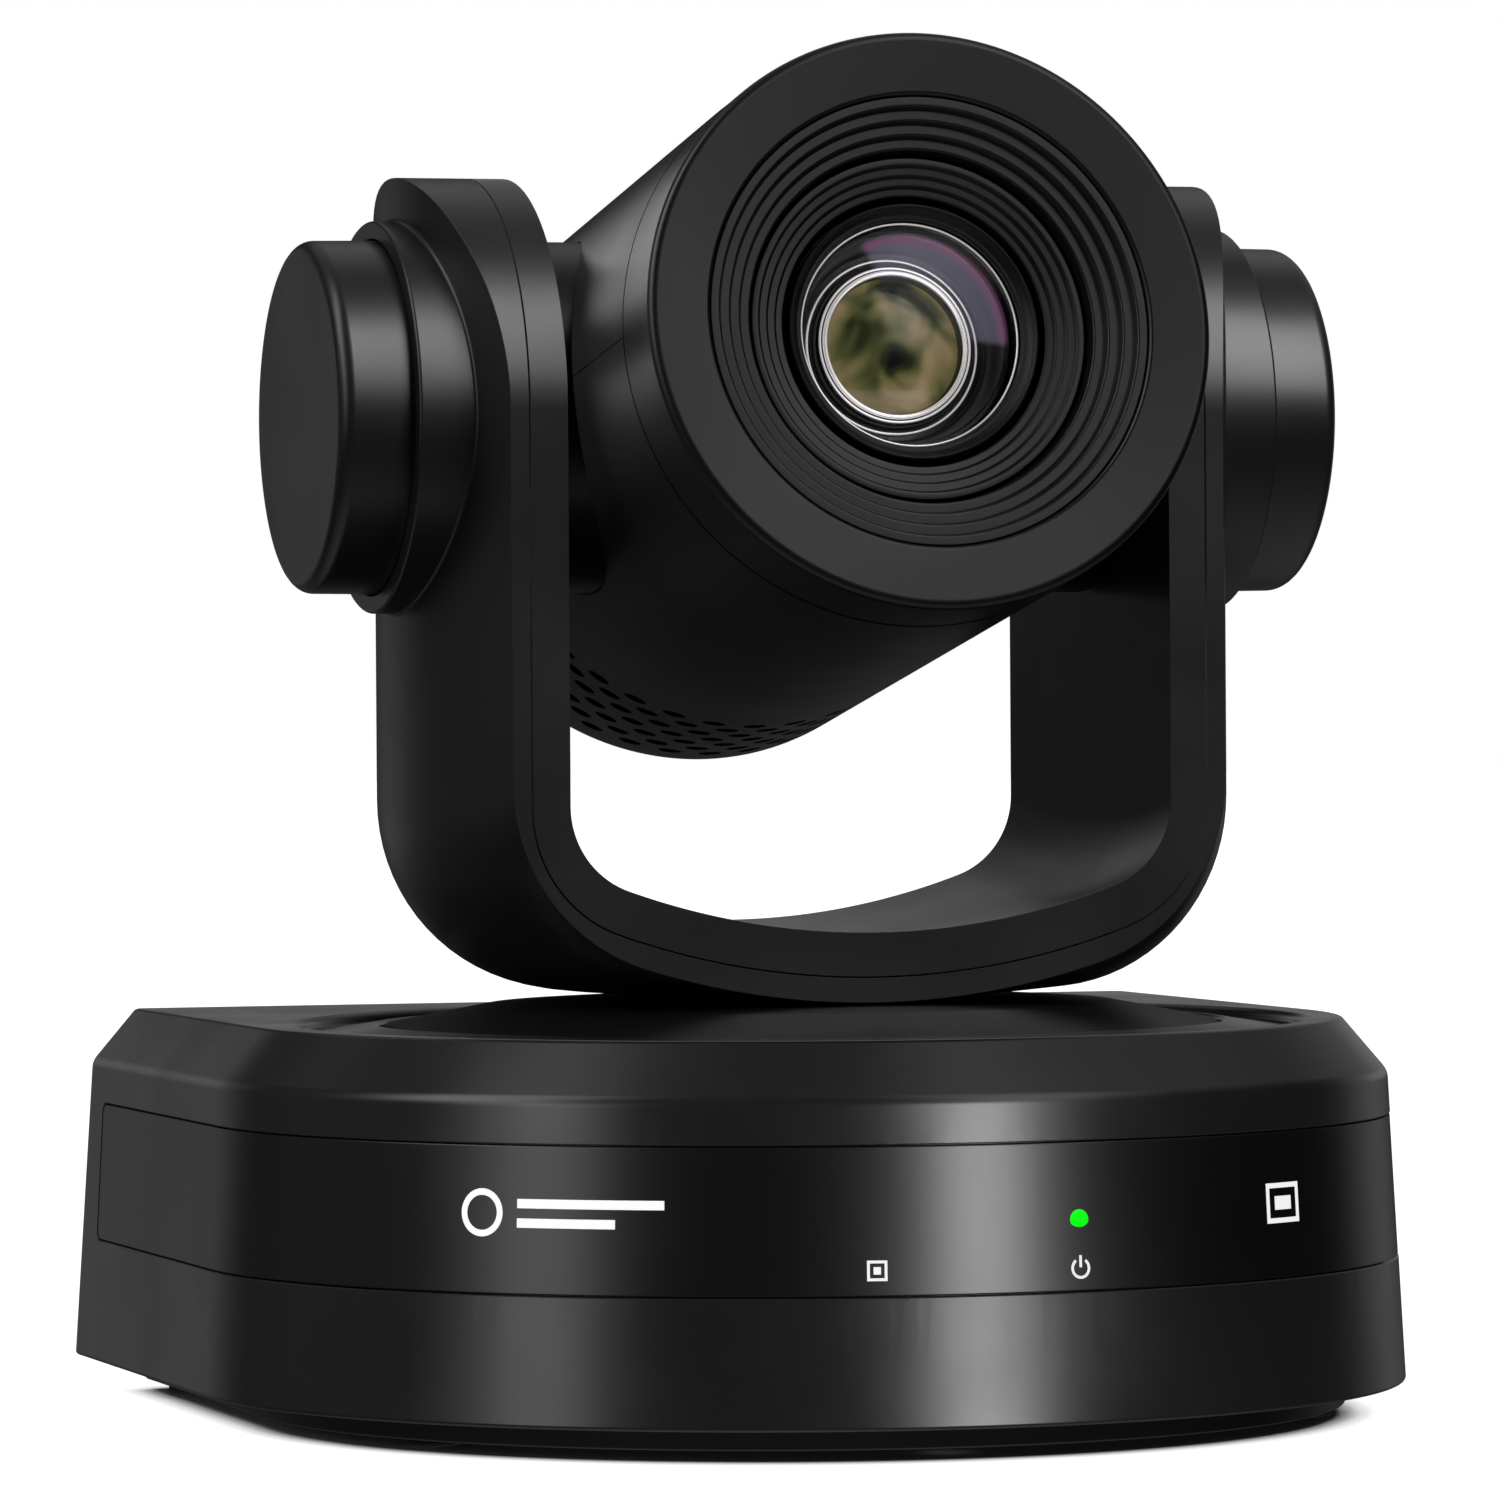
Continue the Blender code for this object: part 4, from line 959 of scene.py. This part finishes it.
# -------- head
def barrel_line(offset, round_steps, dome_steps):
    """Half the barrel's outline, front to back, moved inwards by offset; the back is domed."""
    across = HEAD_RADIUS - REAR_ROUND
    down = -math.sqrt((REAR_DOME - REAR_ROUND) ** 2 - across ** 2)
    meet = math.degrees(math.atan2(down, across))
    line = [(HEAD_RADIUS - offset, SLEEVE_SEAM - 0.1)]
    line += arc((across, down), REAR_ROUND - offset, 0, meet, round_steps)
    line += arc((0, 0), REAR_DOME - offset, meet, -90, dome_steps)[1:-1]
    return line + [(0, offset - REAR_DOME)]


def barrel_half(name, node, side):
    """side is 1 for the upper shell and -1 for the lower one, which has the vents."""
    outline = barrel_line(0, 12, 14) + list(reversed(barrel_line(HEAD_WALL, 6, 8)))
    half_turn = UPRIGHT if side > 0 else turn(180, "Z")
    made = piece(name, *revolved(outline, 96, 180.0), "shell", "head", [node],
                 where=OPTIC @ shift(0, SEAM_HALF_GAP * side, 0) @ half_turn)
    hole = HUB_RADIUS + 0.12
    bore = [(0, 10), (hole, 10), (hole, 40), (0, 40)]
    cutters = [tool(f"hub_hole_{hub}", *revolved(bore, 96), where=HUBS[hub])
               for hub in HUBS]
    if side < 0:
        cutters.append(tool("vent_cutter", *vents(), where=OPTIC))
    cut(made, *cutters)


def vents(sides=18):
    """Oval prisms through the lower rear wall, in staggered rows."""
    wide, tall = VENT_HALF
    shapes = []
    for row in range(VENT_ROWS):
        level = VENT_FIRST - VENT_PITCH * row
        odd = row % 2
        for column in range(VENT_COLUMNS - odd):
            angle = math.radians((column + 0.5 * odd - (VENT_COLUMNS - 1) / 2) * VENT_ANGLE - 90)
            out = Vector((math.cos(angle), math.sin(angle), 0))
            along = Vector((-out.y, out.x, 0))
            oval = [along * (wide * math.cos(t)) + Vector((0, 0, level + tall * math.sin(t)))
                    for t in [2 * math.pi * i / sides for i in range(sides)]]
            shapes.append(skin([[out * radius + point for point in oval]
                                for radius in (HEAD_RADIUS - HEAD_WALL - 2, HEAD_RADIUS + 2)]))
    return together(shapes)


def front_sleeve():
    corners = [(HEAD_RADIUS, SLEEVE_SEAM + 0.1, 0.12), (HEAD_RADIUS, HEAD_FRONT, 1.0),
               (BEZEL_RADIUS + 0.12, 49.5, 0.5), (BEZEL_RADIUS + 0.12, 43.2, 0), (29.6, 41.5, 0),
               (29.6, SLEEVE_SEAM + 0.1, 0)]
    turned("sleeve_fine", corners, "shell", "head", OPTIC, 192, 8, replaces=["front_sleeve"])


def terraces(name, node, outer, inner, front, back, drop, ridge, steps=4):
    """A funnel ring: each step is a flat tread with a rounded lip and a short riser."""
    wide = (outer - inner) / steps
    corners = [(outer, back, 0), (outer, front, 0.12)]
    for step in range(1, steps + 1):
        level = front - drop * (step - 1)
        edge = outer - wide * step
        corners.append((edge + ridge, level, ridge * 0.8))
        corners.append((edge, level - drop, 0.05) if step < steps else (edge, back, 0))
    turned(name, corners, "shell", "head", OPTIC, 192, 4, replaces=[node], slot="dark")


def dome(radius, rim, rise, steps):
    """A shallow dome's outline corners, from its rim to its middle."""
    return [(r, rim + rise * (1 - (r / radius) ** 2), 0)
            for r in [radius - radius * i / steps for i in range(steps + 1)]]


def lens():
    rim = [(12.6, 38.0, 0), (14.5, 38.0, 0), (14.5, 41.6, 0.15), (12.6, 41.6, 0.15)]
    lens_ring("barrel_rim", rim, "dark")
    lens_ring("retaining_fine", [(12.75, 41.9, 0.1), (14.4, 41.9, 0.1), (14.4, 43.3, 0.12),
                                 (14.15, 43.45, 0.12), (13.8, 42.9, 0.1), (13.3, 42.5, 0.1),
                                 (12.95, 42.5, 0.08), (12.75, 42.2, 0.08)], "dark", 160,
              replaces=["retaining_ring"])
    painted_highlight_ring("glass_edge_highlight", GLASS_RADIUS + 0.1, 41.55, 0.10)
    hollow = list(reversed(dome(GLASS_RADIUS - 0.6, 40.2, 1.2, 16)))
    lens_ring("front_glass", hollow + [(GLASS_RADIUS, 40.2, 0)] + dome(GLASS_RADIUS, 41.4, 1.5, 24), "glass",
              replaces=["front_element"])
    lens_ring("cell_fine", [(7.7, 33.0, 0), (12.3, 33.0, 0), (12.3, 39.0, 0.2), (11.6, 39.0, 0.3),
                            (10.6, 34.9, 0.4), (9.3, 34.6, 0.2), (9.0, 35.9, 0.25), (7.7, 35.9, 0.15)],
              "lens_black", replaces=["lens_cell"], slot="dark")
    painted_highlight_ring("cell_highlight", 8.1, 36.1, 0.27)
    painted_highlight_ring("cell_highlight_outer", 8.65, 36.0, 0.13)
    painted_highlight_ring("cell_highlight_low", 9.75, 34.9, 0.12)
    flat_back = [(0, 31.5, 0), (INNER_GLASS_RADIUS, 31.5, 0)]
    lens_ring("inner_glass", flat_back + dome(INNER_GLASS_RADIUS, 34.6, 1.3, 20), "glass_inner", 96,
              replaces=["inner_element"], slot="glass")


def lens_ring(name, corners, look, segments=128, **more):
    turned(name, corners, look, "head", OPTIC, segments, **more)


def painted_highlight_ring(name, radius, height, thickness):
    """A thin metal ring with a painted highlight: it is emitted as light where a lens edge catches the
    light.
    """
    outline = arc((radius, height), thickness, 0, 324, 9)
    piece(name, *revolved(outline, 128), "bright_ring", "head", where=OPTIC, slot="steel", sharp=60.0)


def hub(side_name):
    turned(f"hub_{side_name}", [(HUB_RADIUS, 22, 0), (HUB_RADIUS, HUB_END, 0.8), (6.3, HUB_END, 0),
                                (6.3, 32.4, 0), (HUB_RADIUS - 2.4, 32.4, 0), (HUB_RADIUS - 2.4, 22, 0)],
           "shell", "head", HUBS[side_name], 128, replaces=[f"tilt_hub_{side_name}"])


# -------- everything else in the frame
def crisp_normals():
    """Flat faces stay flat right up to their rounded edges."""
    for made in list(SCENE.objects):
        if made.type == "MESH" and made.name not in frame["nodes"]:
            made.modifiers.new("crisp_normals", "WEIGHTED_NORMAL").keep_sharp = True


def finish_cad_nodes():
    """CAD nodes that keep their own mesh get the look of their material slot."""
    slots = {row["node"]: row["material_slot"] for row in frame["record"]["subparts"]}
    for name, node in frame["nodes"].items():
        node.data.materials.clear()
        node.data.materials.append(LOOKS[slots[name]])


# -------- studio
def camera():
    data = bpy.data.cameras.new("camera")
    data.lens = CAMERA_LENS
    data.sensor_width = 36.0
    data.clip_end = 10.0
    made = bpy.data.objects.new("camera", data)
    made.matrix_world = (shift(*CAMERA_PLACE) @ turn(CAMERA_YAW, "Z") @ turn(90 - CAMERA_PITCH, "X")
                         @ turn(CAMERA_ROLL, "Z"))
    SCENE.collection.objects.link(made)
    SCENE.camera = made


def strips():
    """Area lights that face the object and light only the pieces named in STRIPS."""
    for name, (azimuth, height, *spans, strength, lit) in STRIPS.items():
        wide, tall = (2 * STRIP_DISTANCE * math.tan(math.radians(span / 2)) * MM for span in spans)
        data = bpy.data.lights.new(name, "AREA")
        data.shape = "RECTANGLE"
        data.size = wide
        data.size_y = tall
        data.energy = strength * math.pi * wide * tall
        made = bpy.data.objects.new(name, data)
        made.matrix_world = (shift(0, 0, STRIP_TARGET) @ turn(azimuth, "Z") @ turn(90 - height, "X")
                             @ shift(0, 0, STRIP_DISTANCE))
        SCENE.collection.objects.link(made)
        receivers = bpy.data.collections.new(f"{name}_receivers")
        for piece_name in lit:
            receivers.objects.link(bpy.data.objects[piece_name])
        made.light_linking.receiver_collection = receivers
        made.light_linking.blocker_collection = receivers


def studio_light():
    """A world that is plain white behind the object and lights it with soft boxes."""
    world = bpy.data.worlds.new("studio")
    SCENE.world = world
    world.use_nodes = True
    tree = world.node_tree
    tree.nodes.clear()
    nodes = Nodes(tree)

    place = nodes.add("ShaderNodeTexCoord")
    split = nodes.add("ShaderNodeSeparateXYZ")
    nodes.link(place.outputs["Generated"], split.inputs["Vector"])
    x, y, z = (split.outputs[axis] for axis in "XYZ")
    azimuth = nodes.maths("DEGREES", nodes.maths("ARCTAN2", x, nodes.maths("MULTIPLY", y, -1.0)))
    height = nodes.maths("DEGREES", nodes.maths("ARCSINE", z))
    overhead = nodes.rising(height, edge=72.0, softness=18.0)
    underneath = nodes.falling(height, edge=-50.0, softness=34.0)
    total = nodes.maths("ADD", nodes.maths("MULTIPLY", overhead, CEILING),
                        nodes.maths("MULTIPLY", underneath, FLOOR_GLOW))
    for centre, reach, soft, middle, tall, tall_soft, strength in SOFT_LIGHTS:
        aside = nodes.maths("WRAP", nodes.maths("SUBTRACT", azimuth, centre), 180.0, -180.0)
        wide = nodes.falling(nodes.maths("ABSOLUTE", aside), reach, soft)
        above = nodes.maths("ABSOLUTE", nodes.maths("SUBTRACT", height, middle))
        box_light = nodes.maths("MULTIPLY", wide, nodes.falling(above, tall, tall_soft))
        total = nodes.maths("ADD", total, nodes.maths("MULTIPLY", box_light, strength))
    lit = nodes.add("ShaderNodeBackground")
    white = nodes.add("ShaderNodeBackground")
    for background in (lit, white):
        background.inputs["Color"].default_value = (1, 1, 1, 1)
    nodes.link(total, lit.inputs["Strength"])
    path = nodes.add("ShaderNodeLightPath")
    mix = nodes.add("ShaderNodeMixShader")
    out = nodes.add("ShaderNodeOutputWorld")
    nodes.link(path.outputs["Is Camera Ray"], mix.inputs[0])
    nodes.link(lit.outputs[0], mix.inputs[1])
    nodes.link(white.outputs[0], mix.inputs[2])
    nodes.link(mix.outputs[0], out.inputs["Surface"])


def floor():
    """A white floor lit by its own emission, with a painted contact shadow where the object nearly touches
    it.
    """
    look, nodes, shader = new_look("pale_floor")
    shader.inputs["Roughness"].default_value = 0.9
    shader.inputs["Specular IOR Level"].default_value = 0.0
    shader.inputs["Emission Color"].default_value = (1, 1, 1, 1)
    nodes.link(nodes.colours(nodes.noise(20.0), (0.40, 0.40, 0.40), (0.42, 0.42, 0.42)),
               shader.inputs["Base Color"])
    # painted shadow: ambient occlusion near the object dims the floor's emission
    painted_shadow_openness = nodes.add("ShaderNodeAmbientOcclusion", samples=16)
    painted_shadow_openness.inputs["Distance"].default_value = SHADOW_REACH * MM
    floor_light_with_painted_shadow = nodes.ranged(painted_shadow_openness.outputs["AO"], 0.25, 0.75, 0.0, 1.0, "SMOOTHSTEP")
    nodes.link(floor_light_with_painted_shadow, shader.inputs["Emission Strength"])
    LOOKS["floor"] = look
    corners = [(x * FLOOR_HALF, y * FLOOR_HALF, FLOOR_LEVEL)
               for x, y in ((-1, -1), (1, -1), (1, 1), (-1, 1))]
    made = piece("floor", corners, [[0, 1, 2, 3]], "floor", None)
    made.visible_glossy = False
    made.visible_diffuse = False
    made.visible_shadow = False


# -------- build
def build():
    finish_cad_nodes()
    base_cover()
    ir_window()
    window_marks()
    indicator()
    bottom_plate()
    feet_and_screws()
    tripod_insert()
    rear_panel()
    power_inlet()
    video_port()
    network_port()
    power_switch()
    turntable()
    yoke()
    for side_name in SIDES:
        cap_ring(side_name)
        side_cap(side_name)
        hub(side_name)
    barrel_half("barrel_upper", "head_upper_shell", 1)
    barrel_half("barrel_lower", "head_lower_shell", -1)
    front_sleeve()
    terraces("bezel_fine", "front_bezel", BEZEL_RADIUS, 19.45, front=49.1, back=43.4, drop=0.95, ridge=0.36)
    terraces("inner_ring_fine", "inner_ring", INNER_RING_RADIUS, 14.9, front=44.9, back=40.0, drop=0.5,
             ridge=0.28)
    lens()
    crisp_normals()
    floor()
    studio_light()
    strips()
    camera()
    SCENE.view_settings.view_transform = "Standard"


build()
